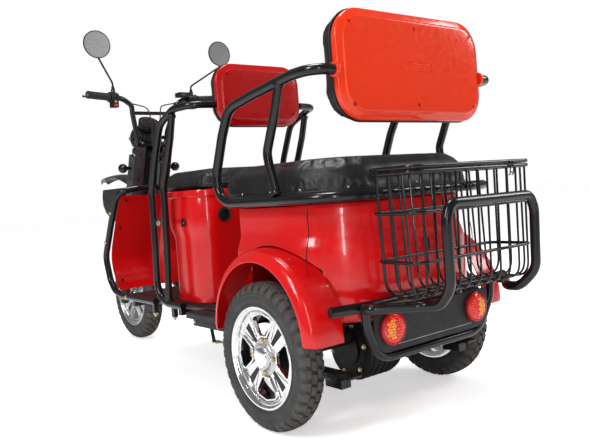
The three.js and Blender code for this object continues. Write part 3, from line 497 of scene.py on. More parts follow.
def tyre(name, x, y, body):
    shape = Shape()
    side_profile = [
        (129, 28), (133, 31.5), (139, 32.5), (143, 34.2), (146, 34.6), (147, 33.6), (149, 33.8),
        (150, 35.6), (158, 37.4), (166, 38.2), (168, 37.4), (170, 37.5), (171.5, 38.4), (178, 37.6),
        (181, 36.2), (183, 36.4), (187, 34.2), (191.5, 30.2), (195.5, 23), (197.5, 12),
    ]
    inside = [(188, 0), (182, 20), (165, 30), (140, 26), (130, 22)]
    profile = side_profile + [(198, 0)] + [(r, -a) for r, a in reversed(side_profile)]
    profile += [(r, -a) for r, a in reversed(inside[1:])] + inside
    shape.lathe(profile, (x, y, WHEEL_Z), (1, 0, 0), 120, closed=True)
    shape.use(1)
    pitches = 38
    for k in range(pitches):
        turn = 2 * math.pi * k / pitches
        step = 2 * math.pi / pitches
        for side in (1, -1):
            offset = 0 if side > 0 else step / 2
            tread_block(shape, x, y, turn + offset, step * 0.72, side * 1.2, side * 15.5,
                        0.14 * side, 205, 204)
            shift = turn + offset + step * 0.45
            tread_block(shape, x, y, shift, step * 0.66, side * 18.5, side * 29, 0.05 * side, 203.4, 197.5)
            tread_block(shape, x, y, shift, step * 0.6, side * 29.5, side * 36.8, 0, 196.6, 186.5, 9)
    shape.done(name, [tyre_rubber, tread_rubber], body, name, sharp=40, merge=False)


def tread_block(shape, x, y, turn, width, near, far, skew, near_radius, far_radius, depth=8):
    """One raised block of the tread, from its middle line to its shoulder."""
    def corner(radius, across, angle):
        return (x + across, y + radius * math.cos(angle), WHEEL_Z + radius * math.sin(angle))
    rings = []
    for drop, taper in ((depth, 1.12), (0.8, 1.0), (0, 0.93)):
        half = width * taper / 2
        grow = 0.5 * (taper - 1) * 8 * (1 if far > near else -1)
        rings.append([
            corner(near_radius - drop, near - grow, turn - half),
            corner(far_radius - drop, far + grow, turn - half + skew * 0.2),
            corner(far_radius - drop, far + grow, turn + half + skew * 0.2),
            corner(near_radius - drop, near - grow, turn + half),
        ])
    shape.loft(rings)


def window_outline(turn, inner, outer, half, corner_radius, steps=6):
    """A rounded wedge between two radii, in the wheel's plane."""
    corners = []
    for radius, angle in ((inner, -half), (outer, -half), (outer * 1.015, 0), (outer, half), (inner, half)):
        angle_here = angle if radius != inner else angle * 0.62
        corners.append((0, radius * math.cos(turn + angle_here), radius * math.sin(turn + angle_here)))
    return rounded(corners, corner_radius, steps, closed=True)


def rim(name, x, y, outward, body, pale=1):
    """A cast wheel: stepped lip, four spokes and four windows with bright edges."""
    shape = Shape()
    axis = (outward, 0, 0)
    centre = (x, y, WHEEL_Z)
    barrel = [
        (141.5, 33.2), (141.5, 35.4), (139.5, 36.6), (136, 36), (133.5, 32), (130, 30.2), (127, 30.6),
        (125, 28), (123.4, 20), (121.5, 19), (119.5, 19.6), (117.5, 17), (116, 8), (116, -12), (122, -30),
        (134, -33.5), (141.5, -34.5), (141.5, -31), (131, -29), (126.5, -20), (126.5, 22),
        (130, 27.5), (134, 30),
    ]
    shape.lathe(barrel, centre, axis, 96, closed=True)
    hub = [
        (20, 6), (40, 7), (52, 9), (54, 12), (53, 17), (50, 19.4), (40, 20.6), (37, 23), (35, 29.5),
        (33, 31.5), (29, 32), (26, 31.4), (20, 31.2),
    ]
    shape.use(1).lathe(hub, centre, axis, 64)
    for k in range(4):
        turn = math.pi / 4 + k * math.pi / 2
        spoke(shape, centre, outward, turn)
        loop = window_outline(k * math.pi / 2, 58, 117.5, 0.46, 13)
        ring = [Vector(centre) + Vector((outward * (17 + 3.2), p.y, p.z)) for p in loop]
        section = [(-2.6, -8), (2.6, -8), (2.6, 1.2), (1.6, 2.4), (-1.6, 2.4), (-2.6, 1.2)]
        shape.use(0).sweep(ring, section, closed=True, up=axis)
    cap = [(28.5, 30), (28.5, 33), (27, 35.5), (20, 37.6), (9, 38.9), (0, 39.2)]
    shape.use(3).lathe(cap, centre, axis, 48)
    for k in range(4):
        angle = k * math.pi / 2
        bolt = (x + outward * 17, y + 45 * math.cos(angle), WHEEL_Z + 45 * math.sin(angle))
        shape.use(4).hexagon(bolt, axis, 14, 11)
        tip = (bolt[0] + outward * 15, bolt[1], bolt[2])
        shape.rod(bolt, tip, 3.6, 14)
    face = polished if pale else cast_alloy
    shape.done(name, [face, cast_alloy, wheel_black, chrome, zinc], body, name, sharp=28,
               merge=False)


def spoke(shape, centre, outward, turn):
    """A flat spoke, wider at the rim, with a black recess let into its face."""
    def flat(radius, across, depth):
        y = radius * math.cos(turn) - across * math.sin(turn)
        z = radius * math.sin(turn) + across * math.cos(turn)
        return Vector(centre) + Vector((outward * depth, y, z))
    edge = [(44, 23), (60, 24), (90, 34), (117, 45)]
    shape.use(0)
    for depth_low, depth_high, inset, material in ((6, 17.6, 0, 0), (17.4, 18.4, 6.5, 2)):
        line = [(r + (6 if r < 50 else -8), w * 0.24) if inset else (r, w) for r, w in edge]
        points = [(r, w) for r, w in line] + [(r, -w) for r, w in reversed(line)]
        shape.use(material)
        shape.loft([
            [flat(r, w, depth_low) for r, w in points],
            [flat(r, w, depth_high) for r, w in points],
        ])
    shape.use(0)
    for side in (1, -1):
        ridge = [flat(r, side * (w - 14), 19.5) for r, w in edge[1:]]
        shape.sweep(ridge, [(-1.2, -2), (1.2, -2), (0.6, 0.6), (-0.6, 0.6)], up=(outward, 0, 0))


tyre("tyre_rear_left", HALF_TRACK, 0, "wheel_left")
tyre("tyre_rear_right", -HALF_TRACK, 0, "wheel_right")
tyre("tyre_front", 0, -WHEELBASE, "wheel_front")
rim("rim_rear_left", HALF_TRACK, 0, 1, "wheel_left")
rim("rim_rear_right", -HALF_TRACK, 0, -1, "wheel_right")
rim("rim_front", 0, -WHEELBASE, 1, "wheel_front", pale=0)

# ---------------------------------------------------------------- rear axle and springs
def rear_axle():
    shape = Shape()
    shape.rod((-300, 0, WHEEL_Z), (300, 0, WHEEL_Z), 27, 28)
    motor = [(62, 0), (84, 2), (93, 8), (95.5, 16), (95.5, 128), (93, 140), (84, 147), (60, 149)]
    shape.lathe(motor, (-95, 0, 165), (1, 0, 0), 56)
    for x in (-70, -45, -20, 5, 30):
        shape.lathe([(95, 0), (98, 1), (98, 5), (95, 6)], (x, 0, 165), (1, 0, 0), 56)
    shape.lathe([(20, 0), (44, 0), (48, 4), (48, 6), (20, 6)], (54, 0, 165), (1, 0, 0), 40)
    for side in (1, -1):
        axis = (side, 0, 0)
        drum = [(30, 0), (70, 0), (76, 4), (77.5, 8), (77.5, 24), (76, 28), (60, 30), (30, 30)]
        shape.lathe(drum, (side * 283, 0, WHEEL_Z), axis, 56)
        shape.rod((side * 300, 0, WHEEL_Z), (side * 366, 0, WHEEL_Z), 8, 20)
        for k in range(8):
            angle = k * math.pi / 4 + 0.3
            place = (side * 311, 62 * math.cos(angle), WHEEL_Z + 62 * math.sin(angle))
            shape.rod(place, (place[0] + side * 1.8, place[1], place[2]), 3.2, 10)
    shape.use(1)
    for k in range(6):
        angle = k * math.pi / 3 + 0.2
        place = (54.5, 74 * math.cos(angle), 165 + 74 * math.sin(angle))
        shape.hexagon(place, (1, 0, 0), 10, 6)
    shape.done("rear_axle", [black_plastic, zinc], "axle", "rear_axle")


rear_axle()
for name, side in (("left", 1), ("right", -1)):
    shape = Shape()
    x0, x1 = side * 218, side * 262
    for k in range(3):
        reach, top = 235 - 55 * k, 162 - 7 * k
        line = [(side * 240, y, top - 3.5) for y in (-reach, 0, reach)]
        shape.sweep(spaced(line, 60), [(-21.5, -3.3), (21.5, -3.3), (21.5, 3.3), (-21.5, 3.3)],
                    up=(0, 0, 1))
    shape.box((min(x0, x1) - 3, -31, 131), (max(x0, x1) + 3, 31, 176))
    shape.box((side * 240 - 17, 130, 124), (side * 240 + 17, 196, 148))
    shape.use(1)
    for y in (-24, 24):
        for x in (x0, x1):
            shape.hexagon((x, y, 131), (0, 0, -1), 13, 8)
    piece_name = f"leaf_spring_{name}"
    shape.done(piece_name, [enamel(piece_name, BLACK), zinc], "axle", piece_name,
               bevel=1.2)


# ---------------------------------------------------------------- frame tubes


def framed(name, parts, body="frame", extra=None, materials=None):
    shape = Shape()
    for corners, radius, bend in parts:
        shape.tube(corners, radius, bend)
    if extra:
        extra(shape)
    return shape.done(name, materials or [black_tube, zinc, black_plastic], body, name)


shield_side = [
    (230, -1000, 708), (294, -1013, 700), (300, -1055, 669), (300, -1123, 562), (300, -1197, 435),
    (300, -1166, 342), (300, -1126, 300), (300, -1054, 285), (300, -762, 285),
]


def shield_bolts(shape):
    shape.use(1)
    for side in (1, -1):
        for y, z in ((-1090, 616), (-1160, 498), (-1000, 285)):
            shape.hexagon((side * 311, y, z), (side, 0, 0), 11, 5)


framed("leg_shield_frame", [(shield_side[::-1] + mirror_x(shield_side), 12.5, 60)], extra=shield_bolts)


def guard(name, side):
    outer = sided(side, [
        (181, -450, 965), (262, -466, 965), (290, -543, 960), (290, -649, 918), (290, -708, 794),
        (290, -750, 685),
        (290, -754, 475), (290, -762, 349), (290, -735, 296), (298, -667, 285), (298, -560, 285),
    ])
    inner = sided(side, [
        (290, -553, 945), (290, -579, 863), (290, -613, 786), (290, -656, 702), (290, -657, 648),
        (290, -664, 477), (294, -670, 290),
    ])

    def strap(shape):
        shape.use(0).box((side * 290 - 3, -752, 561), (side * 290 + 3, -658, 583))
        for z, y in ((940, -556), (292, -668)):
            shape.lathe([(13, 0), (14.5, 3), (14, 7), (12.6, 10)], (side * 290, y, z),
                        (0, 0.3, 1 if z < 500 else -1), 20)
        shape.use(1).hexagon((side * 293, -706, 572), (side, 0, 0), 14, 7)
        shape.hexagon((side * 287, -706, 572), (-side, 0, 0), 14, 7)
    framed(name, [(outer, 12.5, 75), (inner, 12.5, 60)], extra=strap)


guard("driver_guard_left", 1)
guard("driver_guard_right", -1)


def arm_rest(name, side):
    main = sided(side, [
        (281, 290, 944), (322, 290, 944), (348, 255, 944), (348, 199, 943), (348, 26, 921),
        (348, -104, 900),
        (348, -149, 824), (348, -200, 707), (348, -184, 652), (348, -140, 629), (348, -95.4, 629),
    ])
    support = sided(side,
                    [(348, 143, 932), (348, 113, 853), (348, 68, 758), (348, 74, 726), (348, 99, 645)])

    def welds(shape):
        shape.use(0)
        shape.lathe([(12.6, 0), (14, 3), (15, 8), (14, 12)], (side * 348, 139, 922), (0, 0.36, 1), 20)
        shape.lathe([(14, 0), (15, 3), (14.2, 8), (12.6, 13)], (side * 348, 98, 644), (0, -0.3, 1), 20)
    framed(name, [(main, 14, 85), (support, 12.5, 60)], extra=welds)


arm_rest("arm_rest_left", 1)
arm_rest("arm_rest_right", -1)

hoop_side = [(348, -95, 629), (348, 306, 629)]
framed("seat_hoop", [(hoop_side + mirror_x(hoop_side)[::-1], 14, 168)])

hanger_side = [(256, 304, 350), (250, 302, 300), (205, 290, 206)]


def cross_extras(shape):
    shape.use(0)
    for side in (1, -1):
        shape.box((side * 150 - 12, 263, 276), (side * 150 + 12, 296, 296))
        shape.box((side * 150 - 12, 293, 276), (side * 150 + 12, 299, 350))
        shape.use(2).rod((side * 349, 283.5, 350), (side * 351, 283, 350), 12, 20)
        shape.use(0)


framed("rear_cross_tube", [
    ([(-350, 283, 350), (-240, 306, 350), (240, 306, 350), (350, 283, 350)], 14, 120),
    (hanger_side + mirror_x(hanger_side)[::-1], 12, 85),
], extra=cross_extras)

bumper_side = [
    (272, 320.5, 350), (272, 345, 350), (170, 424, 350), (163, 470, 352), (174, 516, 400),
    (178, 520, 560), (160, 520, 597), (107, 520, 597),
]
framed("rear_bumper", [(bumper_side + mirror_x(bumper_side)[::-1], 13, 62)])


# ---------------------------------------------------------------- passenger body and fenders
BODY_X = 335
ARCH_Y = 20
ARCH_Z = 270
SEAM_Y = 188


def body_ring(inset, z, wall=0.0):
    radii = [26, 26, 262, 262]
    radii = [max(radius - inset - wall, 4) for radius in radii]
    edge = inset + wall
    points = outline((-BODY_X + edge, -150 + edge), (BODY_X - edge, 292 - edge), radii, 28)
    dense = []
    for first, second in zip(points, points[1:] + points[:1]):
        dense.append(first)
        parts = int(math.dist(first, second) / 18)
        dense += [tuple(a + (b - a) * k / (parts + 1) for a,
                        b in zip(first, second)) for k in range(1, parts + 1)]
    result = []
    for x, y in dense:
        groove = 2.2 if not wall and abs(y - SEAM_Y) < 2.0 and abs(x) > 100 else 0
        length = math.hypot(x, y) or 1
        result.append((x - groove * x / length, y - groove * y / length * 0.5, z))
    return result


def passenger_body():
    levels = [(10, 300), (4, 304), (0, 312), (0, 400), (0, 486), (0.8, 494), (4, 505), (9.5, 522),
              (12.2, 530),
              (13, 538), (13, 580), (13, 606), (14.5, 611), (18, 612)]
    shape = Shape()
    outside = [body_ring(inset, z) for inset, z in levels]
    inside = [body_ring(inset, z, 5) for inset, z in
              [(13, 612), (13, 532), (9, 520), (0, 492), (0, 330), (6, 317)]]
    shape.loft(outside, caps=False)
    count = len(outside[0])
    shape.faces.append(tuple(reversed(range(count))))
    shape.face_materials.append(0)
    start = len(shape.points)
    # The inside walls and floor take dark_red, a darker copy of the body paint: painted shade inside the
    # body.
    shape.use(1).loft(inside, caps=False)
    top, first = (len(outside) - 1) * count, start
    for k in range(count):
        following = (k + 1) % count
        shape.faces.append((top + k, top + following, first + following, first + k))
        shape.face_materials.append(0)
    floor = start + (len(inside) - 1) * count
    shape.faces.append(tuple(range(floor, floor + count)))
    shape.face_materials.append(1)
    piece = shape.done("passenger_body", [red_paint, dark_red], "frame",
                       "passenger_body", merge=False)
    for side in (1, -1):
        room = Shape()
        low, high = sorted((side * 280, side * 420))
        arc = [(y, z) for y, z in arch_points(237.5, -12, 192, 64)]
        room.loft([[(x, y, z) for y, z in arc] for x in (low, high)])
        carved(piece, room)
    piece.data.set_sharp_from_angle(angle=math.radians(32))
    return piece


def arch_points(radius, start, end, steps):
    points = []
    for k in range(steps + 1):
        angle = math.radians(start + (end - start) * k / steps)
        points.append((ARCH_Y - radius * math.cos(angle), ARCH_Z + radius * math.sin(angle)))
    return points


passenger_body()


def fender(name, side):
    """A rolled section carried over the wheel: inner edge, crown, outer face and lip."""
    section = [
        (286, 233.6), (330, 233.8), (352, 233.6), (366, 232.5), (376, 229.5), (384, 224), (389.5, 216),
        (393, 208), (395, 201), (394.6, 199.4), (392.6, 199.2), (391.6, 200.6), (390, 206), (386.5, 214),
        (381.5, 221), (374, 226), (364, 228.8), (350, 229.8), (286, 229.8),
    ]
    rings = []
    near_end = [0, 0.15, 0.5, 1, 1.7, 2.6, 3.7, 5]
    degrees = [-2 + step for step in near_end] + [3 + 2.54 * k for k in range(1, 70)]
    degrees += [182 - step for step in reversed(near_end)]
    for degree in degrees:
        angle = math.radians(degree)
        away = max(0, 1 - min(degree + 2, 182 - degree) / 5)
        tuck = 1 - math.sqrt(1 - away * away)
        ring = []
        for x, r in section:
            share = max(0, (x - 330) / 65)
            ring.append((side * (x - 8 * tuck * share), ARCH_Y - r * math.cos(angle),
                         ARCH_Z + r * math.sin(angle)))
        rings.append(ring)
    shape = Shape()
    shape.loft(rings)
    shape.use(1)
    for angle in (35, 90, 145):
        turn = math.radians(angle)
        place = (side * 291, ARCH_Y - 233.5 * math.cos(turn), ARCH_Z + 233.5 * math.sin(turn))
        shape.screw(place, (0, -math.cos(turn), math.sin(turn)), 4.5)
    shape.done(name, [red_paint, zinc], "frame", name, sharp=50)


# Black rods along the seam groove on each body side: painted shade in the seam.
shape = Shape()
for side in (1, -1):
    profile = [(0, 418), (0, 450), (0, 486), (4, 505), (12.2, 530), (13, 538), (13, 606)]
    shape.sweep([(side * (BODY_X - inset), SEAM_Y, z) for inset, z in profile],
                [(1.3 * math.cos(k * math.pi / 3), 1.3 * math.sin(k * math.pi / 3)) for k in range(6)])
shape.done("body_seams", [wheel_black], "frame", merge=False)


fender("fender_left", 1)
fender("fender_right", -1)

shape = Shape()
for x in (-5, 5):
    shape.rod((x, 287, 497), (x, 298, 497), 2.2, 12)
shape.tube([(5, 298, 497), (5, 302, 470), (-5, 302, 470), (-5, 298, 497)], 2.2, 4, 10)
shape.tube([(0, 291, 478), (0, 304, 484), (0, 304, 460), (0, 294, 455)], 1.8, 5, 10)
shape.done("body_loop", [black_tube], "frame", merge=False)


# ---------------------------------------------------------------- leg shield and floor
def interpolated(line, count):
    """Evenly spaced points along a smooth curve through the given points."""
    points = [Vector(point) for point in line]
    padded = [points[0] * 2 - points[1], *points, points[-1] * 2 - points[-2]]
    dense = []
    for p0, p1, p2, p3 in zip(padded, padded[1:], padded[2:], padded[3:]):
        for k in range(12):
            t = k / 12
            dense.append(0.5 * (
                p1 * 2 + (p2 - p0) * t + (p0 * 2 - p1 * 5 + p2 * 4 - p3) * t * t
                + (p1 * 3 - p0 - p2 * 3 + p3) * t * t * t
            ))
    dense.append(points[-1])
    lengths = [0]
    for first, second in zip(dense, dense[1:]):
        lengths.append(lengths[-1] + (second - first).length)
    result = []
    index = 0
    for k in range(count):
        goal = lengths[-1] * k / (count - 1)
        while index < len(lengths) - 2 and lengths[index + 1] < goal:
            index += 1
        stretch = lengths[index + 1] - lengths[index] or 1
        result.append(dense[index].lerp(dense[index + 1], (goal - lengths[index]) / stretch))
    return result


def leg_shield():
    """A dished panel between the side tubes, with the steering column's housing in its middle."""
    side_line = [(-1024, 681), (-1062, 655), (-1118, 560), (-1174, 436), (-1150, 345), (-1112, 302)]
    profile = interpolated([(0, y, z) for y, z in side_line], 40)
    columns = 61
    shape = Shape()
    faces_front, faces_back = [], []
    for row, point in enumerate(profile):
        for column in range(columns):
            u = -1 + 2 * column / (columns - 1)
            x = 284 * u
            dish = 9 * (1 - abs(u) ** 3)
            if 0.30 < abs(u) < 0.36:
                dish -= 2.5
            crease = 2.0 if row in (9, 22, 31) else 0
            faces_back.append((x, point.y - dish + 2 - crease, point.z))
            faces_front.append((x, point.y - dish - 4 - crease, point.z))
    total = len(faces_back)
    faces = []
    rows = len(profile)
    for row in range(rows - 1):
        for column in range(columns - 1):
            a = row * columns + column
            faces.append((a, a + 1, a + columns + 1, a + columns))
            faces.append((total + a, total + a + columns, total + a + columns + 1, total + a + 1))
    border = [k for k in range(columns)]
    border += [row * columns + columns - 1 for row in range(1, rows)]
    border += [(rows - 1) * columns + k for k in range(columns - 2, -1, -1)]
    border += [row * columns for row in range(rows - 2, 0, -1)]
    for first, second in zip(border, border[1:] + border[:1]):
        faces.append((first, total + first, total + second, second))
    shape.add(faces_back + faces_front, faces)
    rings = []
    for low, high, z in ((-1128, -1082, 303), (-1160, -1092, 360), (-1183, -1112, 436), (-1152, -1082, 520),
                         (-1118, -1054, 590), (-1082, -1030, 640), (-1064, -1012, 668),
                         (-1060, -1018, 672)):
        ring = outline((-94, low), (94, high), [10, 10, 30, 30], 8)
        rings.append([(x, y, z) for x, y in ring])
    shape.use(0).loft(rings)
    shape.use(1)
    for side in (1, -1):
        for y, z in ((-1046, 662), (-1120, 552), (-1140, 340)):
            shape.screw((side * 262, y + 4, z), (0, 1, 0.4), 6)
    shape.done("leg_shield", [red_paint, black_plastic], "frame", "leg_shield",
               sharp=30, merge=False)


leg_shield()


def floor_mat():
    shape = Shape()
    corners = outline((-279.5, -1084.5), (279.5, -152.5), [14] * 4, 6)
    shape.loft([[(x, y, z) for x, y in corners] for z in (272.6, 285)])
    shape.use(1)
    for k in range(-15, 16):
        x = k * 17.4
        for low, high in ((-1074, -745), (-690, -482), (-470, -162)):
            if k in (-7, -6, -5) and low == -1074:
                high = -985
            section = [(-3.6, -0.6), (3.6, -0.6), (2.4, 3.6), (-2.4, 3.6)]
            shape.sweep([(x, low, 285), (x, (low + high) / 2, 285), (x, high, 285)], section, up=(0, 0, 1))
    piece = shape.done("floor_mat", [mat_rubber, mat_rubber], "frame", "floor_mat", bevel=0.8)
    slot_room = Shape()
    slot_room.box((-120, -972, 262), (-96, -924, 300))
    carved(piece, slot_room)


floor_mat()


def step_board():
    shape = Shape()
    for side in (1, -1):
        low, high = sorted((side * 281, side * 339))
        upper = outline((low, -477), (high, -255), [4, 12, 12, 4] if side > 0 else [12, 4, 4, 12], 6)
        shape.loft([[(x, y, z) for x, y in upper] for z in (262, 279)])
        low, high = sorted((side * 231, side * 322))
        lower = outline((low, -461), (high, -255), [4, 10, 10, 4] if side > 0 else [10, 4, 4, 10], 6)
        shape.loft([[(x, y, z) for x, y in lower] for z in (236, 262.4)])
        for y in range(-466, -262, 17):
            shape.box((side * 310 - 24, y, 278.5), (side * 310 + 24, y + 8, 280.4))
        low, high = sorted((side * 206, side * 245))
        shape.box((low, -399, 218.5), (high, -361, 262))
    shape.box((-240, -399, 218.5), (240, -361, 235))
    shape.use(1)
    for side in (1, -1):
        for y in (-440, -290):
            shape.hexagon((side * 323, y, 250), (side, 0, 0), 8, 4)
    shape.done("step_board", [dark_plastic, zinc], "frame", "step_board", bevel=2.0)


step_board()


def main_frame():
    """Floor rails, crossings and the neck, with a bolted clamp and square posts below."""
    shape = Shape()
    for side in (1, -1):
        low, high = side * 150 - 19.5, side * 150 + 19.5
        shape.box((low, -1119, 236.5), (high, -124, 271.5))
        shape.box((low, -148, 236.5), (high, -124, 297))
        shape.box((low, -148, 274), (high, 261, 297))
        if side > 0:
            for y in (-947, -1120):
                shape.box((132, y, 186), (150, y + 24, 240))
    for y in (-1100, -900, -500, -255):
        shape.box((-150, y - 14.5, 240.5), (150, y + 14.5, 267.5))
    shape.box((-150, 232, 277), (150, 261, 296))
    for y in (-1000, -620, -240):
        shape.box((-281, y - 11.5, 245.5), (281, y + 11.5, 266.5))
    up = 560
    top = (0, -1580 + 45 * math.cos(RAKE) + up * math.sin(RAKE),
           205 - 45 * math.sin(RAKE) + up * math.cos(RAKE))
    neck_corners = [(0, -1100, 254), (0, -1185, 300), (0, -1270, 560), top]
    shape.tube(neck_corners, 21.8, 80, 24)
    start, end = in_fork(0, 45, 470), in_fork(0, 45, 695)
    collar = [(17.2, 0), (29, 0), (29.5, 2), (29.5, 12), (27, 15), (27, 210), (29.5, 213),
              (29.5, 223), (29, 225),
              (17.2, 225)]
    shape.lathe(collar, start, Vector(end) - Vector(start), 40, closed=True)
    shape.use(1)
    for y in (-935, -1108):
        shape.hexagon((141, y, 186), (0, 0, -1), 15, 10)
        shape.rod((141, y, 178), (141, y, 170), 4, 12)
    shape.done("main_frame", [black_tube, zinc], "frame", "main_frame", bevel=1.5)


main_frame()


# ---------------------------------------------------------------- driver's seat box
def seat_box():
    def ring(inset, front, z, wall=0.0):
        radii = [max(radius - inset - wall, 6) for radius in (40, 40, 72, 72)]
        edge = inset + wall
        points = outline((-252 + edge, front + edge), (252 - edge, -480 - edge), radii, 14)
        return [(x, y, z) for x, y in points]
    outside = [
        ring(6, -712, 289.8), ring(6, -712, 292), ring(6, -712, 500), ring(5.4, -714, 512),
        ring(3.4, -720, 528),
        ring(1.0, -729, 544), ring(0, -734, 556), ring(0, -735, 570), ring(0, -735, 648),
        ring(1.6, -735, 651),
        ring(1.6, -735, 654), ring(-4, -735, 656), ring(-6, -735, 659), ring(-6, -735, 676),
        ring(-4, -735, 680),
    ]
    inside = [ring(0, -735, 680, 6), ring(0, -735, 556, 6), ring(6, -712, 500, 6), ring(6, -712, 296, 6)]
    shape = Shape()
    shape.loft(outside + inside)
    piece = shape.done("driver_seat_box", [red_paint], "frame", "driver_seat_box",
                       sharp=32, merge=False)
    hole = Shape()
    hole.rod((157, -510, 590), (157, -470, 590), 19.6, 32)
    hole.rod((225, -592, 568), (275, -592, 568), 11.6, 24)
    carved(piece, hole)
    piece.data.set_sharp_from_angle(angle=math.radians(32))


seat_box()

shape = Shape()
shape.lathe([(12, -2), (25, -2), (26, 0), (25, 4), (20, 5.5), (17, 5.5), (16, 3), (15, -14), (0, -14)],
            (157, -478.6, 590), (0, 1, 0), 40)
shape.use(1)
for k in range(3):
    angle = math.pi / 2 + k * 2 * math.pi / 3
    start = (157 + 7 * math.cos(angle), -492.5, 590 + 7 * math.sin(angle))
    shape.rod(start, (start[0], -482, start[2]), 1.8, 12)
shape.done("charging_port", [black_plastic, steel], "frame", "charging_port")

shape = Shape()
shape.lathe([(10.6, -20), (10.8, -1), (13, 0), (13, 3), (11, 5), (4, 5.4), (0, 5.4)],
            (253, -592, 568), (1, 0, 0), 32)
shape.box((253.4, -610, 560), (256, -592, 584))
shape.box((257, -594, 556), (263.5, -590, 580))
shape.use(1).rod((258, -592, 568), (259.4, -592, 568), 5, 20)
shape.done("seat_latch", [black_plastic, steel], "latch", "seat_latch", bevel=0.7)

shape = Shape()
shape.box((-188, -88, 319), (188, 148, 498))
for x in (-94, 0, 94):
    shape.box((x - 30, -60, 497), (x + 30, 120, 499.5))
shape.done("battery_box", [black_plastic], "frame", "battery_box", bevel=4)


# ---------------------------------------------------------------- cushions
def stuffed(name, rings, held, cap, body, node, voxel=6, pressure=4.0, gathers=(), pinches=()):
    """A sewn pad: its closed form is puffed up by a cloth simulation while the seams hold it."""
    shape = Shape()
    shape.loft(rings)
    piece = shape.done(name, [black_leather], body, node, sharp=180, merge=False)
    modifier = piece.modifiers.new("even", "REMESH")
    modifier.mode = "VOXEL"
    modifier.voxel_size = voxel / 1000
    modifier.use_smooth_shade = True
    frozen(piece)
    before = [vertex.co.copy() for vertex in piece.data.vertices]
    group = piece.vertex_groups.new(name="held")
    for vertex in piece.data.vertices:
        group.add([vertex.index], held(vertex.co * 1000 - at(0, 0, 0) * 1000), "REPLACE")
    cloth = piece.modifiers.new("puff", "CLOTH")
    cloth.settings.quality = 4
    cloth.settings.mass = 0.3
    cloth.settings.tension_stiffness = 12
    cloth.settings.compression_stiffness = 6
    cloth.settings.bending_stiffness = 0.3
    cloth.settings.use_pressure = True
    cloth.settings.uniform_pressure_force = pressure
    cloth.settings.vertex_group_mass = "held"
    cloth.settings.effector_weights.gravity = 0
    cloth.collision_settings.use_collision = False
    cloth.point_cache.frame_start = 1
    cloth.point_cache.frame_end = 20
    for number in range(1, 21):
        bpy.context.scene.frame_set(number)
    frozen(piece)
    bpy.context.scene.frame_set(1)
    for vertex, start in zip(piece.data.vertices, before):
        moved = vertex.co - start
        if moved.length > cap / 1000:
            vertex.co = start + moved.normalized() * (cap / 1000)
    for vertex in piece.data.vertices:
        place = vertex.co * 1000 - at(0, 0, 0) * 1000
        push = sum(depth * fold(place, axis, level, reach) for axis, level, reach, depth in gathers)
        for axis, level, depth in pinches:
            side_on = abs(vertex.normal[1 - axis])
            push -= depth * side_on * math.exp(-((place[axis] - level) / 24) ** 2)
        vertex.co += vertex.normal * push / 1000
    piece.data.shade_smooth()
    modifier = piece.modifiers.new("smooth", "SUBSURF")
    modifier.levels = modifier.render_levels = 1
    return piece


def fold(place, axis, level, reach):
    """Gathers that fade away from a seam at a level along an axis."""
    away = abs(place[axis] - level) / reach
    if away > 3:
        return 0
    along = Vector(place) * 0.055
    along[axis] *= 0.18
    return math.exp(-away * away) * (mathutils.noise.noise(along) + 0.5 * mathutils.noise.noise(along * 2.3))


def pad_rings(low, high, corner, levels, steps=14, power=2.2):
    """Horizontal rings of a pad: levels are (inset, z) pairs."""
    rings = []
    for inset, z in levels:
        radii = [max(radius - inset, 8) for radius in corner]
        points = outline((low[0] + inset, low[1] + inset), (high[0] - inset, high[1] - inset),
                         radii, steps, power)
        rings.append([(x, y, z) for x, y in points])
    return rings


def belt(piece, z, centre, count=120, out=0.6):
    """Points round a piece at one height, just outside its surface."""
    graph = bpy.context.evaluated_depsgraph_get()
    tree = BVHTree.FromObject(piece, graph)
    points = []
    for k in range(count):
        angle = 2 * math.pi * k / count
        away = Vector((math.cos(angle), math.sin(angle), 0))
        middle = at(centre[0], centre[1], z)
        hit = tree.ray_cast(middle + away, -away, 1.0)[0]
        if hit is None:
            continue
        point = (hit - at(0, 0, 0)) * 1000 + away * out
        points.append(point)
    return points


def piping(name, piece, levels, centre, radius, body):
    shape = Shape()
    for z in levels:
        line = belt(piece, z, centre)
        section = [(radius * math.cos(k * math.pi / 4),
                    radius * math.sin(k * math.pi / 4)) for k in range(8)]
        shape.sweep(line, section, closed=True)
    return shape.done(name, [piping_leather], body, merge=False, sharp=180)


driver_levels = [(16, 682), (6, 686), (2, 693), (4, 697), (1, 702), (0, 708), (3, 718), (10, 729),
                 (24, 738), (48, 743),
                 (90, 745)]
driver_cushion = stuffed(
    "driver_cushion", pad_rings((-231, -846), (231, -466), [70, 70, 60, 60], driver_levels),
    lambda p: 1.0 if p.z < 698 else 0.06, 9, "driver_seat", "driver_cushion",
    gathers=((2, 700, 9, 1.0),), pinches=((1, -660, 4),))
piping("driver_cushion_piping", driver_cushion, (697,), (0, -656), 2.4, "driver_seat")

bench_levels = [(20, 616), (8, 620), (4, 628), (4, 640), (8, 647), (3, 654), (0, 664), (0, 680),
                (3, 694), (8, 705),
                (17, 714), (32, 720), (60, 722), (120, 723)]
bench_cushion = stuffed(
    "passenger_cushion", pad_rings((-322, -241), (322, 282), [70, 70, 190, 190], bench_levels, 18),
    lambda p: 1.0 if p.z < 647 else 0.05, 12, "passenger_seat", "passenger_cushion",
    gathers=((2, 650, 14, 0.8),),
    pinches=((1, 40, 8), (0, -120, 6), (0, 120, 6)))
piping("passenger_cushion_piping", bench_cushion, (646,), (0, 20), 2.6, "passenger_seat")

shape = Shape()
for point in belt(bench_cushion, 652, (0, 20), 16, 0):
    inward = Vector((-point.x, 20 - point.y, 0)).normalized()
    shape.lathe([(3.6, -1), (3.4, 0.6), (2.2, 1.6), (0, 2)], point - inward * 0.2, -inward, 14)
shape.done("passenger_cushion_studs", [steel], "passenger_seat", merge=False)


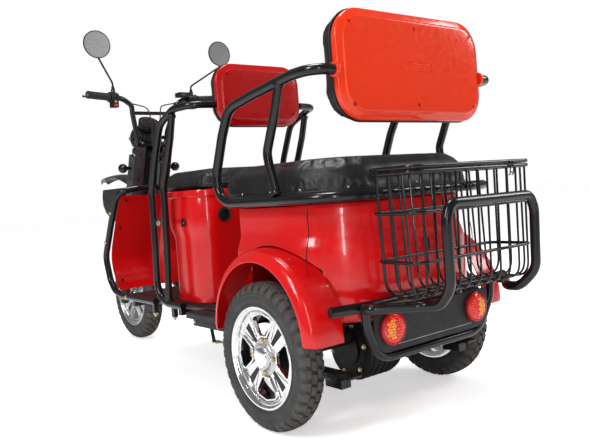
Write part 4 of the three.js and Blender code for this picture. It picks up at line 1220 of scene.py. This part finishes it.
# ---------------------------------------------------------------- backrests
def backrest(prefix, half, bottom, top, rear, front, corner, skin):
    middle = rear - 26

    def ring(inset, y):
        points = outline((-half + inset, bottom + inset), (half - inset, top - inset),
                         [max(corner - inset, 8)] * 4, 16)
        return [(x, y, z) for x, z in points]
    shape = Shape()
    levels = [(3, middle + 0.4), (0.6, middle + 1), (0, middle + 3), (0, rear - 13),
              (1.5, rear - 10.5), (4, rear - 9),
              (17, rear - 4.5), (19.5, rear - 3.2), (21, rear - 1.2), (23, rear - 0.4), (27, rear),
              (60, rear)]
    shape.loft([ring(inset, y) for inset, y in levels])
    shell = shape.done(f"{prefix}_backrest_shell", [skin], "frame",
                       f"{prefix}_backrest_shell", sharp=40, merge=False)
    holes = Shape()
    screws = Shape()
    columns = (-half + 44, 0, half - 44) if half > 200 else (-half + 40, half - 40)
    for x in columns:
        for z in (bottom + 40, top - 40):
            holes.rod((x, rear - 5, z), (x, rear + 5, z), 5.6, 24)
            screws.screw((x, rear - 5, z), (0, 1, 0), 4.2)
    if half > 200:
        plate = outline((-62, (bottom + top) / 2 - 14), (62, (bottom + top) / 2 + 14), [5] * 4, 5)
        holes.loft([[(x, y, z) for x, z in plate] for y in (rear - 1.1, rear + 5)])
    carved(shell, holes)
    shell.data.set_sharp_from_angle(angle=math.radians(40))
    if half > 200:
        raised = Shape()
        inner = outline((-58, (bottom + top) / 2 - 10), (58, (bottom + top) / 2 + 10), [4] * 4, 5)
        raised.loft([[(x, y, z) for x, z in inner] for y in (rear - 1.3, rear - 0.3)])
        raised.done(f"{prefix}_backrest_panel", [red_plastic], "frame", bevel=0.3)
    screws.done(f"{prefix}_backrest_screws", [dark_red], "frame")
    depth = middle - 0.6 - front
    levels = [(6, middle - 0.6), (2, middle - 3), (0, middle - 8), (0, middle - depth * 0.45),
              (3, middle - depth * 0.62), (9, middle - depth * 0.78), (20, middle - depth * 0.9),
              (44, front + 5),
              (80, front + 4)]
    pad = stuffed(
        f"{prefix}_backrest_cushion", [ring(inset, y) for inset, y in levels],
        lambda p: 1.0 if p.y > middle - 7 else 0.05, 8, "frame", f"{prefix}_backrest_cushion",
        gathers=((1, middle - 8, 8, 1.6),), voxel=5)
    ribs = Shape()
    line = [Vector(point) for point in ring(-0.6, middle - 6)]
    section = [(2.3 * math.cos(k * math.pi / 4), 2.3 * math.sin(k * math.pi / 4)) for k in range(8)]
    ribs.sweep(line, section, closed=True)
    ribs.done(f"{prefix}_backrest_piping", [piping_leather], "frame", merge=False, sharp=180)
    return pad


# The driver's backrest shell takes the darker red, which is painted shade.
backrest("driver", 177, 891, 1106, -428, -500, 70, shaded_backrest_red)
backrest("passenger", 280, 818, 1105, 306, 214, 85, red_plastic)

shape = Shape()
for side in (1, -1):
    shape.lathe([(14, 0), (19, 0), (20, 3), (19, 8), (15, 10), (14.4, 10)], (side * 279, 290, 944),
                (side, 0, 0), 32)
shape.done("backrest_bushings", [red_plastic], "frame")

# ---------------------------------------------------------------- luggage basket
BASKET_X, BASKET_FRONT, BASKET_REAR = 236, 326, 480
BASKET_RIM, BASKET_FLOOR, TAPER = 676, 374, 9


def wire_places(low, high, spacing=42):
    gaps = round((high - low) / spacing)
    return [low + (high - low) * k / gaps for k in range(gaps + 1)]


def basket_ring(shape, z, radius, inset, bend=34):
    x = BASKET_X - inset
    front, rear = BASKET_FRONT + inset, BASKET_REAR - inset
    shape.tube([(x, front, z), (x, rear, z), (-x, rear, z), (-x, front, z)], radius, bend, 12, closed=True)


def basket():
    shape = Shape()
    for z, radius, inset in ((BASKET_RIM, 5.4, 0), (580, 4.4, 3), (462, 4.4, 6)):
        basket_ring(shape, z, radius, inset)
    front, rear, side = BASKET_FRONT + TAPER, BASKET_REAR - TAPER, BASKET_X - TAPER
    for x in wire_places(-BASKET_X + 30, BASKET_X - 30):
        corners = [(x, BASKET_FRONT, 676), (x, front, BASKET_FLOOR), (x, rear, BASKET_FLOOR),
                   (x, BASKET_REAR, 676)]
        shape.tube(corners, 3, 44, 10)
    for y in wire_places(BASKET_FRONT + 34, BASKET_REAR - 34):
        low = BASKET_FLOOR + 5
        corners = [(BASKET_X, y, 676), (side, y, low), (-side, y, low), (-BASKET_X, y, 676)]
        shape.tube(corners, 3, 44, 10)
    shape.done("basket", [black_tube], "frame", "basket", merge=False)
    lid = Shape()
    basket_ring(lid, 688, 5.4, 0)
    for x in wire_places(-BASKET_X + 30, BASKET_X - 30):
        lid.tube([(x, BASKET_FRONT, 688), (x, BASKET_REAR, 688)], 3, 10, 10)
    lid.tube([(-232, 403, 683.4), (232, 403, 683.4)], 3, 10, 10)
    for x in (-146, -132):
        hook = [(x, 478, 690), (x, 486.4, 690), (x, 488, 668), (x, 486, 654), (x + 5, 484.5, 652)]
        lid.tube(hook, 1.6, 8, 8)
    lid.tube([(-146, 487, 662), (-139, 488.2, 657), (-132, 487, 662)], 1.6, 6, 8)
    lid.done("basket_lid", [black_tube], "lid", "basket_lid", merge=False)
    hinge = Shape()
    for x in (-180, -60, 60, 180):
        hinge.tube([(x - 8, 326, 682), (x + 8, 326, 682)], 7.4, 4, 14)
    hinge.done("basket_hinge", [black_tube], "frame")


basket()


# ---------------------------------------------------------------- tail plate and lights
def tail_plate():
    shape = Shape()
    flat = outline((-231, 223), (231, 330), [50, 50, 12, 12], 12)
    shape.loft([[(x, y, z) for x, z in flat] for y in (304.2, 307.8)])
    shape.use(1).box((-150, 307.6, 238), (150, 308.3, 239.6))
    piece = shape.done("tail_plate", [dark_plastic, light_grey], "frame",
                       "tail_plate", bevel=0.6)
    room = Shape()
    for side in (1, -1):
        room.rod((side * 169, 295, 283), (side * 169, 315, 283), 36, 40)
    carved(piece, room)
    piece.data.set_sharp_from_angle(angle=math.radians(35))


def tail_light(name, side):
    """A round lamp with a dished lens, rows of small lenses and an amber crescent on its outer side."""
    shape = Shape()
    centre = (side * 169, 300, 283)
    shape.lathe([(34, 0), (35.2, 2), (35.2, 8.6), (34, 9)], centre, (0, 1, 0), 40)
    shape.use(3).lathe([(36, 8.8), (42.6, 9), (43, 11), (43, 17), (41, 19.5), (38.5, 20), (38, 17),
                        (36, 12)],
                       centre, (0, 1, 0), 56)
    shape.use(1).lathe([(38.4, 12), (38.4, 17), (36, 20.5), (28, 23.2), (16, 24.6), (0, 25)],
                       centre, (0, 1, 0), 48)
    spacing = 8.2
    for row in range(-4, 5):
        for column in range(-4, 5):
            x = (column + (row % 2) * 0.5) * spacing
            z = row * spacing * 0.866
            radius = math.hypot(x, z)
            if radius > 32.5:
                continue
            amber = side * x > 2 and radius < 29
            top = 300 + 24.9 - 4.6 * (radius / 36) ** 2
            shape.use(2 if amber else 1)
            dome = [(4.0, -1.2), (3.8, 0.4), (2.6, 1.6), (1.2, 2.1), (0, 2.2)]
            shape.lathe(dome, (side * 169 + x, top, 283 + z), (0, 1, 0), 12)
    shape.done(name, [black_plastic, red_lens, amber_lens, dark_red], "frame", name,
               merge=False, sharp=50)


tail_plate()
tail_light("tail_light_left", 1)
tail_light("tail_light_right", -1)


# ---------------------------------------------------------------- foot brake
shape = Shape()
shape.rod((-130, -700, 222), (112, -700, 222), 9, 20)
shape.tube([(105, -700, 222), (105, -720, 170), (105, -704, 104)], 7, 26, 14)
shape.tube([(-108, -700, 222), (-108, -950, 222), (-108, -950, 347)], 7, 26, 14)
pad_turn = Matrix.Rotation(-0.35, 3, "X")
shape.use(1).box((-136, -957, 335), (-80, -947, 379), pad_turn)
for k in range(5):
    low = 338 + k * 8.4
    shape.box((-132, -946.5, low), (-84, -944.5, low + 4), pad_turn, (-108, -952, 357))
shape.use(2).hexagon((98, -704, 104), (-1, 0, 0), 12, 6)
shape.done("brake_pedal", [black_tube, grip_rubber, zinc], "pedal", "brake_pedal", bevel=0.8)

shape = Shape()
shape.rod((88, -692, 104), (88, -80, 120), 3.8, 16)
shape.rod((84, -702, 104), (97, -702, 104), 6, 16)
shape.box((84.3, -703.5, 100.3), (91.7, -688.5, 107.7))
for k in range(14):
    y = -672 + k * 2.4
    shape.lathe([(3.9, 0), (4.6, 0.6), (3.9, 1.4)], (88, y, 104.5), (0, 1, 0.026), 12)
shape.done("brake_rod", [zinc], "rod", "brake_rod")


# ---------------------------------------------------------------- front fork
FORK_AXIS = Vector((0, math.sin(RAKE), math.cos(RAKE)))


def fork_block(shape, low, high):
    corners = [(x, y, z) for x in (low[0], high[0]) for y in (low[1], high[1]) for z in (low[2], high[2])]
    faces = [(0, 1, 3, 2), (4, 6, 7, 5), (0, 4, 5, 1), (2, 3, 7, 6), (0, 2, 6, 4), (1, 5, 7, 3)]
    return shape.add([in_fork(*corner) for corner in corners], faces)


shape = Shape()
for side in (1, -1):
    x = side * 66
    leg = [(17.2, 60), (17.2, 330), (20, 330), (22, 326), (22, 300), (21, 296), (21, 40), (22, 30),
           (22, -20),
           (18, -26), (0, -26), (0, 56)]
    shape.lathe(leg, in_fork(x, 0, 0), FORK_AXIS, 32)
    shape.use(1).hexagon(in_fork(side * 88.5, 0, 0), (side, 0, 0), 17, 9)
    shape.use(0)
shape.rod(in_fork(-98, 0, 0), in_fork(98, 0, 0), 8, 20)
shape.done("fork_sliders", [black_tube, zinc], "fork_lower", "fork_sliders")

shape = Shape()
for side in (1, -1):
    shape.use(1).rod(in_fork(side * 66, 0, 122), in_fork(side * 66, 0, 732), 16, 28)
shape.use(0)
fork_block(shape, (-83.5, -23.5, 430.5), (83.5, 72.5, 459.5))
fork_block(shape, (-83.5, -15.8, 712.5), (83.5, 27.8, 733.5))
fork_block(shape, (-37.8, 20.5, 712.5), (37.8, 72.5, 733.5))
shape.use(1).rod(in_fork(0, 45, 441), in_fork(0, 45, 732.8), 13, 24)
shape.done("fork_crown", [black_tube, chrome], "steering", "fork_crown", bevel=2)

shape = Shape()
for side in (1, -1):
    low, high = sorted((side * 41, side * 90))
    fork_block(shape, (low, 30.2, 475), (high, 32.8, 749))
    low, high = sorted((side * 87, side * 90))
    fork_block(shape, (low, -29.8, 475), (high, 32.8, 700))
    low, high = sorted((side * 52, side * 80))
    fork_block(shape, (low, 32.4, 520), (high, 34.2, 585))
    fork_block(shape, (low, 32.4, 610), (high, 34.2, 700))
    shape.use(1)
    for z in (492, 600, 718):
        shape.screw(in_fork(side * 66, 32.6, z), (0, math.cos(RAKE), -math.sin(RAKE)), 5.5)
        shape.screw(in_fork(side * 90, 4, z - 6), (side, 0, 0), 4.5)
    shape.use(0)
fork_block(shape, (-89.8, -29.8, 475), (89.8, -27.2, 699.8))
shape.done("fork_cover", [grey_plastic, black_plastic], "steering", "fork_cover", bevel=1.0)

for name, side in (("left", 1), ("right", -1)):
    shape = Shape()
    centre = in_fork(side * 129, 2, 645)
    shape.rod(in_fork(side * 90.5, 2, 645), centre, 6.4, 18)
    for k in range(4):
        place = in_fork(side * (94 + k * 5), 2, 645)
        shape.lathe([(6.2, 0), (8.2, 1), (8.2, 2.6), (6.2, 3.6)], place, (side, 0, 0), 18)
    shape.lathe([(0, -20.6), (9, -20.2), (17, -13), (20.6, -4), (21, 0), (21, 2)], centre, (0, -1, 0), 32)
    shape.use(1).lathe([(21, 2), (21, 3.4), (18, 11), (11, 17.5), (0, 20.4)], centre, (0, -1, 0), 32)
    shape.done(f"turn_signal_{name}", [gloss_black, amber_lens], "steering",
               f"turn_signal_{name}", merge=False)


# ---------------------------------------------------------------- front mudguard and cowl
def mudguard():
    ridge = interpolated([(0, -1882, 770), (0, -1834, 786), (0, -1740, 794.5), (0, -1640, 794),
                          (0, -1560, 779),
                          (0, -1470, 751)], 36)
    rings = []
    for point in ridge:
        reach = min(1, (point.y + 1884) / 150)
        half = 14 + 45 * math.sin(reach * math.pi / 2) ** 0.8
        ring = []
        for k in range(17):
            u = -1 + k / 8
            drop = 13 * abs(u) ** 2.2
            ring.append((half * u, point.y + 1.2 * drop * 0.1, point.z - drop))
        for k in range(16, -1, -1):
            u = -1 + k / 8
            drop = 13 * abs(u) ** 2.2
            ring.append((half * u * 0.97, point.y + 1, point.z - drop - 3))
        rings.append(ring)
    shape = Shape()
    shape.loft(rings)
    shape.use(1)
    turn = Matrix.Rotation(-RAKE, 3, "X")
    shape.box((-40, -1492, 704), (40, -1472, 760), turn)
    for side in (1, -1):
        shape.hexagon((side * 26, -1493, 730), (0, -1, 0.3), 10, 5)
    shape.done("front_mudguard", [gloss_black, black_plastic], "steering",
               "front_mudguard",
               sharp=50, bevel=0.5)


mudguard()


def cowl():
    """An open scoop under the mudguard, with upright ribs on its sides and front."""
    levels = [(44, -1664, 550), (58, -1715, 580), (66, -1753, 612), (73, -1764, 650),
              (75, -1762, 690), (75, -1750, 724)]
    rear = [-1560, -1550, -1540, -1528, -1515, -1502]
    rings = []
    inner = []
    for (half, front, z), back in zip(levels, rear):
        for inset, store in ((0, rings), (3, inner)):
            points = outline((-half + inset, front + inset), (half - inset, back), [26, 26, 8, 8], 14)
            dense = []
            for first, second in zip(points, points[1:] + points[:1]):
                parts = max(1, int(math.dist(first, second) / 4.5))
                dense += [tuple(a + (b - a) * k / parts for a,
                                b in zip(first, second)) for k in range(parts)]
            store.append(dense)
    count = 150

    def even(points, z, groove):
        lengths = [0]
        loop = points + [points[0]]
        for first, second in zip(loop, loop[1:]):
            lengths.append(lengths[-1] + math.dist(first, second))
        result, index = [], 0
        for k in range(count):
            goal = lengths[-1] * k / count
            while lengths[index + 1] < goal:
                index += 1
            t = (goal - lengths[index]) / ((lengths[index + 1] - lengths[index]) or 1)
            x, y = (a + (b - a) * t for a, b in zip(loop[index], loop[index + 1]))
            pull = groove if k % 5 in (2, 3) and y < -1560 else 0
            result.append((x * (1 - pull / 75), y + pull, z))
        return result
    outer_rings = [even(points, level[2], 2.4) for points, level in zip(rings, levels)]
    inner_rings = [even(points, level[2] + 1, 0) for points, level in zip(inner, levels)]
    shape = Shape()
    shape.loft(outer_rings + inner_rings[::-1])
    shape.tube([in_fork(-60, -36, 560), in_fork(60, -36, 560)], 5, 10, 10)
    shape.done("front_cowl", [dark_plastic], "steering", "front_cowl", sharp=30,
               merge=False)


cowl()


# ---------------------------------------------------------------- headlight and instrument
shape = Shape()
lamp_axis = (0, -1, 0)
lamp_rear = (0, -1318, 943)
shape.lathe([(0, 0.4), (16, 1.2), (24, 3.4), (34, 10), (42, 18), (52, 29), (58.4, 39), (62.6, 50),
             (64.4, 60),
             (64.8, 66), (64.8, 73), (62, 77), (58, 79), (56.5, 76), (56.5, 70)], lamp_rear, lamp_axis, 64)
for radius, along in ((40, 16.4), (55.2, 33.5), (63.4, 54)):
    shape.lathe([(radius, along - 1.6), (radius + 1.6, along - 0.4), (radius + 1.6, along + 1),
                 (radius, along + 2)],
                lamp_rear, lamp_axis, 64)
shape.use(1).lathe([(57.5, 74), (58.5, 79), (56, 83), (57, 84.6), (61.8, 82), (64.4, 77.5),
                    (64.4, 74)], lamp_rear, lamp_axis, 64)
shape.use(2).lathe([(57, 76), (56, 80), (40, 83.6), (20, 85.2), (0, 85.6)], lamp_rear, lamp_axis, 48)
shape.use(0)
for side in (1, -1):
    low, high = sorted((side * 60, side * 80))
    shape.box((low, -1372, 936), (high, -1316.8, 950))
    shape.use(3).hexagon((side * 80, -1358, 943), (side, 0, 0), 10, 5)
    shape.use(0)
shape.done("headlight", [black_plastic, chrome, clear_lens, zinc], "steering",
           "headlight", merge=False)

shape = Shape()
dial_axis = Vector((0, 0.6, 0.8))
dial = Vector((0, -1335, 988))
shape.lathe([(20, 0), (40, 1), (45, 4), (46.6, 8), (46.8, 24), (48.6, 26), (48.8, 29.5), (47, 31),
             (44, 30.4),
             (43.4, 27.5)], dial, dial_axis, 56)
shape.use(1).lathe([(44, 26), (43.6, 27.6), (30, 28.2), (0, 28.4)], dial, dial_axis, 48)
shape.use(2)
across = Vector((1, 0, 0))
rise = dial_axis.cross(across)
for k in range(21):
    angle = math.radians(-130 + 13 * k)
    reach = across * math.sin(angle) + rise * -math.cos(angle)
    long_mark = 6 if k % 5 == 0 else 3.4
    start = dial + dial_axis * 28.3 + reach * 38
    shape.rod(start, start - reach * long_mark, 0.55, 6, 0.1)
needle = across * math.sin(-1.9) + rise * -math.cos(-1.9)
shape.use(3).rod(dial + dial_axis * 29.2 - needle * 6, dial + dial_axis * 29.2 + needle * 32, 0.9, 8, 0.2)
shape.use(0).lathe([(4.4, 28), (4.4, 30), (2, 31), (0, 31.2)], dial, dial_axis, 20)
shape.done("instrument", [black_plastic, wheel_black, light_grey, red_plastic], "steering",
           "instrument", merge=False)


# ---------------------------------------------------------------- handlebar and controls
GRIP_START = Vector((212, -1246, 1109))
GRIP_AXIS = (Vector((313, -1215, 1111)) - GRIP_START).normalized()


def along_grip(side, distance):
    point = GRIP_START + GRIP_AXIS * distance
    return Vector((side * point.x, point.y, point.z))


def grip_axis(side):
    return Vector((side * GRIP_AXIS.x, GRIP_AXIS.y, GRIP_AXIS.z))


bar_half = [(0, -1310, 905), (70, -1310, 905), (76, -1300, 965), (98, -1276, 1046), (104, -1264, 1078),
            (145, -1266.5, 1107.7), tuple(GRIP_START), (313, -1215, 1111)]
shape = Shape()
shape.tube(bar_half[::-1] + mirror_x(bar_half)[1:], 11, 42, 20, gap=30)
shape.tube([(-98, -1276, 1046), (98, -1276, 1046)], 8, 10, 18)
for side in (1, -1):
    fork_block(shape, (side * 50 - 12, -12, 734.6), (side * 50 + 12, 20, 764))
    for y in (-7, 15):
        shape.use(1).hexagon(in_fork(side * 50, y, 764), FORK_AXIS, 8, 6)
        shape.use(0)
shape.done("handlebar", [black_tube, zinc], "steering", "handlebar", bevel=1.5)


def grip(name, side, body):
    """A rubber sleeve with rings of fine ribs and a collar at its inner end."""
    profile = [(11.9, 4), (16.6, 4), (17.6, 5), (17.6, 8), (16.2, 9.5)]
    steps = 22
    for k in range(steps):
        start = 13 + k * 3.9
        profile += [(15.2, start), (15.9, start + 0.7), (15.9, start + 2.4), (15.2, start + 3.1)]
    profile += [(15.4, 101), (16.4, 102.5), (16.6, 108), (15.8, 110.4), (13, 111), (0, 111)]
    shape = Shape()
    axis = grip_axis(side)
    shape.lathe(profile, along_grip(side, 0), axis, 36)
    shape.use(1).lathe([(6, 110.4), (6, 111), (4.4, 111.4), (0, 111.4)], along_grip(side, 0), axis, 24)
    shape.done(name, [grip_rubber, steel], body, name, merge=False)


grip("grip_left", 1, "steering")
grip("throttle_grip", -1, "throttle")


def switch_pod(name, side):
    shape = Shape()
    axis = grip_axis(side)
    base = along_grip(side, 0)
    profile = [(11.6, -40), (20, -40), (22.4, -38), (22.6, -22), (21.4, -21), (21.4, -19.6),
               (22.6, -18.6), (22.6, -2),
               (20, 0.4), (11.6, 0.4)]
    shape.lathe(profile, base, axis, 40)
    x, y, z = along_grip(side, -24)
    shape.box((x - 14, y - 15, z - 43), (x + 14, y + 19, z - 10))
    shape.box((x - 10, y - 45.5, z - 8.6), (x + 10, y - 8, z - 4))
    shape.box((x - 10, y - 45.5, z + 4), (x + 10, y - 8, z + 8.6))
    shape.box((x - 10, y - 26, z - 8.6), (x + 10, y - 10, z + 8.6))
    shape.rod((x, y, z + 14), (x, y, z + 38), 8.6, 20)
    shape.use(1).hexagon((x, y, z + 27), (0, 0, 1), 15, 8)
    shape.use(0)
    if side < 0:
        shape.box((-189, -1283, 1120), (-121, -1241, 1140.6))
        shape.use(2).box((-150, -1240.8, 1124), (-132, -1237.5, 1136))
        shape.use(3).rod((x, y + 19, z - 20), (x, y + 22.5, z - 20), 5.5, 20)
        shape.use(4).rod((x, y + 19, z - 34), (x, y + 22.5, z - 34), 5, 20)
    else:
        shape.use(4).rod((x, y + 19, z - 20), (x, y + 23, z - 20), 5.5, 20)
        shape.use(3).box((x - 8, y + 19, z - 39), (x + 8, y + 22, z - 31))
    shape.done(name, [black_plastic, steel, grey_plastic, red_plastic, light_grey], "steering",
               name, bevel=1.2)


switch_pod("switch_pod_left", 1)
switch_pod("switch_pod_right", -1)


def brake_lever(name, side, body):
    x, y, z = along_grip(side, -26)
    tip = along_grip(side, 112)
    shape = Shape()
    line = rounded([(x, y - 40, z), (x + side * 22, y - 48, z), (x + side * 50, y - 50, z),
                    (tip.x, tip.y - 44, tip.z)], 24)
    section = [(5.4 * math.cos(a), 3.1 * math.sin(a)) for a in (2 * math.pi * k / 16 for k in range(16))]
    shape.sweep(spaced(line, 12), section, up=(0, 0, 1))
    shape.ball((tip.x, tip.y - 44, tip.z), 5.2)
    shape.use(1).rod((x, y - 40, z - 3.2), (x, y - 40, z + 3.2), 4.6, 20)
    shape.done(name, [gloss_black, steel], body, name, merge=False)


brake_lever("brake_lever_left", 1, "lever_left")
brake_lever("brake_lever_right", -1, "lever_right")


def mirror(name, side):
    x, y, z = along_grip(side, -24)
    shape = Shape()
    stem = [(x, y, z + 38.6), (x, y, z + 62), (side * 286, -1144, 1247), (side * 290, -1152, 1262)]
    shape.tube(stem, 4, 18, 14)
    shape.rod((x, y, z + 38.6), (x, y, z + 48), 6.4, 20)
    centre = (side * 290, -1162, 1307)
    shell = [(0, 0), (18, 1), (36, 3.4), (50, 8), (55.4, 12), (56.8, 15), (56.8, 19), (55, 20),
             (53.4, 19.2), (53, 17)]
    shape.lathe(shell, centre, (0, 1, 0), 64)
    shape.lathe([(14, -1), (14, 2), (9, 2)], centre, (0, 1, 0), 24)
    shape.use(1).lathe([(53.2, 17), (53.2, 18.4), (30, 18.7), (0, 18.8)], centre, (0, 1, 0), 64)
    shape.done(name, [gloss_black, mirror_glass], name, name, merge=False)


mirror("mirror_left", 1)
mirror("mirror_right", -1)

shape = Shape()
for side in (1, -1):
    x, y, z = along_grip(side, -28)
    run = [(x - side * 14, y - 34, z), (x - side * 40, y - 48, z - 2), (side * 116, -1300, 1096),
           (side * 60, -1300, 1086), (side * 30, -1258, 1068), (side * 20, -1254, 1000),
           (side * 16, -1268, 912)]
    shape.tube(run, 2.8, 60, 12, gap=20)
    start, end = Vector(run[0]), Vector(run[1])
    shape.use(1).rod(start, start.lerp(end, 0.7), 3.8, 16)
    shape.use(0)
shape.box((-25, -1276.5, 898.5), (25, -1260.5, 913.5))
shape.done("brake_cables", [cable_rubber, steel], "steering", "brake_cables", merge=False)

# ---------------------------------------------------------------- the setting
def light(name, place, target, size, power, color=(1, 1, 1)):
    data = bpy.data.lights.new(name, "AREA")
    data.shape = "RECTANGLE"
    data.size, data.size_y = size
    data.energy = power
    data.color = color
    lamp = bpy.data.objects.new(name, data)
    lamp.location = place
    lamp.rotation_euler = (Vector(target) - Vector(place)).to_track_quat("-Z", "Y").to_euler()
    bpy.context.scene.collection.objects.link(lamp)


def setting():
    floor_mesh = bpy.data.meshes.new("floor")
    floor_mesh.from_pydata([(-40, -40, 0), (40, -40, 0), (40, 40, 0), (-40, 40, 0)], [], [(0, 1, 2, 3)])
    floor = bpy.data.objects.new("floor", floor_mesh)
    bpy.context.scene.collection.objects.link(floor)
    pale = Nodes("floor_pale", (0.93, 0.93, 0.93), 0.9, Specular_IOR_Level=0.1, Emission_Color=(1, 1, 1, 1))
    seen = pale.tree.nodes.new("ShaderNodeLightPath")
    lift = pale.tree.nodes.new("ShaderNodeMath")
    lift.operation = "MULTIPLY"
    lift.inputs[1].default_value = 0.5
    pale.link(seen.outputs["Is Camera Ray"], lift.inputs[0])
    pale.link(lift.outputs["Value"], pale.shader.inputs["Emission Strength"])
    pale.vary_roughness(pale.noise(2), 0.86, 0.95)
    floor_mesh.materials.append(pale.material)

    world = bpy.data.worlds.new("studio")
    world.use_nodes = True
    links = world.node_tree.links
    background = world.node_tree.nodes["Background"]
    background.inputs["Color"].default_value = (1, 1, 1, 1)
    rays = world.node_tree.nodes.new("ShaderNodeLightPath")
    dimmed = world.node_tree.nodes.new("ShaderNodeMapRange")
    dimmed.inputs["To Min"].default_value = 0.54
    dimmed.inputs["To Max"].default_value = 0.2
    links.new(rays.outputs["Is Glossy Ray"], dimmed.inputs["Value"])
    strength = world.node_tree.nodes.new("ShaderNodeMath")
    strength.operation = "MAXIMUM"
    links.new(rays.outputs["Is Camera Ray"], strength.inputs[0])
    links.new(dimmed.outputs["Result"], strength.inputs[1])
    links.new(strength.outputs["Value"], background.inputs["Strength"])
    bpy.context.scene.world = world
    light("key", (4.2, 1.2, 3.6), (0, 0.3, 0.5), (0.8, 2.2), 118)
    light("strip", (2.6, 3.8, 1.6), (0, 0.5, 0.6), (0.2, 2.4), 32)
    light("fill", (-3.5, 2.6, 2.8), (0, 0.4, 0.5), (1.0, 2.0), 60)
    light("top", (0, 0, 4.5), (0, 0.3, 0), (1.4, 1.4), 112)


def camera():
    azimuth, elevation, roll = (math.radians(angle) for angle in (140.7815, 0.5849, -4.2576))
    flat = math.cos(elevation)
    forward = Vector((-math.sin(azimuth) * flat, math.cos(azimuth) * flat, -math.sin(elevation)))
    level = Vector((math.cos(azimuth), math.sin(azimuth), 0))
    upright = level.cross(forward)
    right = level * math.cos(roll) + upright * math.sin(roll)
    up = upright * math.cos(roll) - level * math.sin(roll)
    data = bpy.data.cameras.new("camera")
    data.sensor_fit = "HORIZONTAL"
    data.sensor_width = 36
    data.lens = 41.92
    data.shift_x = -0.0347
    data.shift_y = -0.0425
    data.clip_end = 100
    viewer = bpy.data.objects.new("camera", data)
    turned = Matrix((right, up, -forward)).transposed().to_4x4()
    viewer.matrix_world = Matrix.Translation(at(1410.92, 1558.63, 653.04)) @ turned
    bpy.context.scene.collection.objects.link(viewer)
    bpy.context.scene.camera = viewer


setting()
camera()
bpy.context.scene.view_settings.view_transform = "Standard"
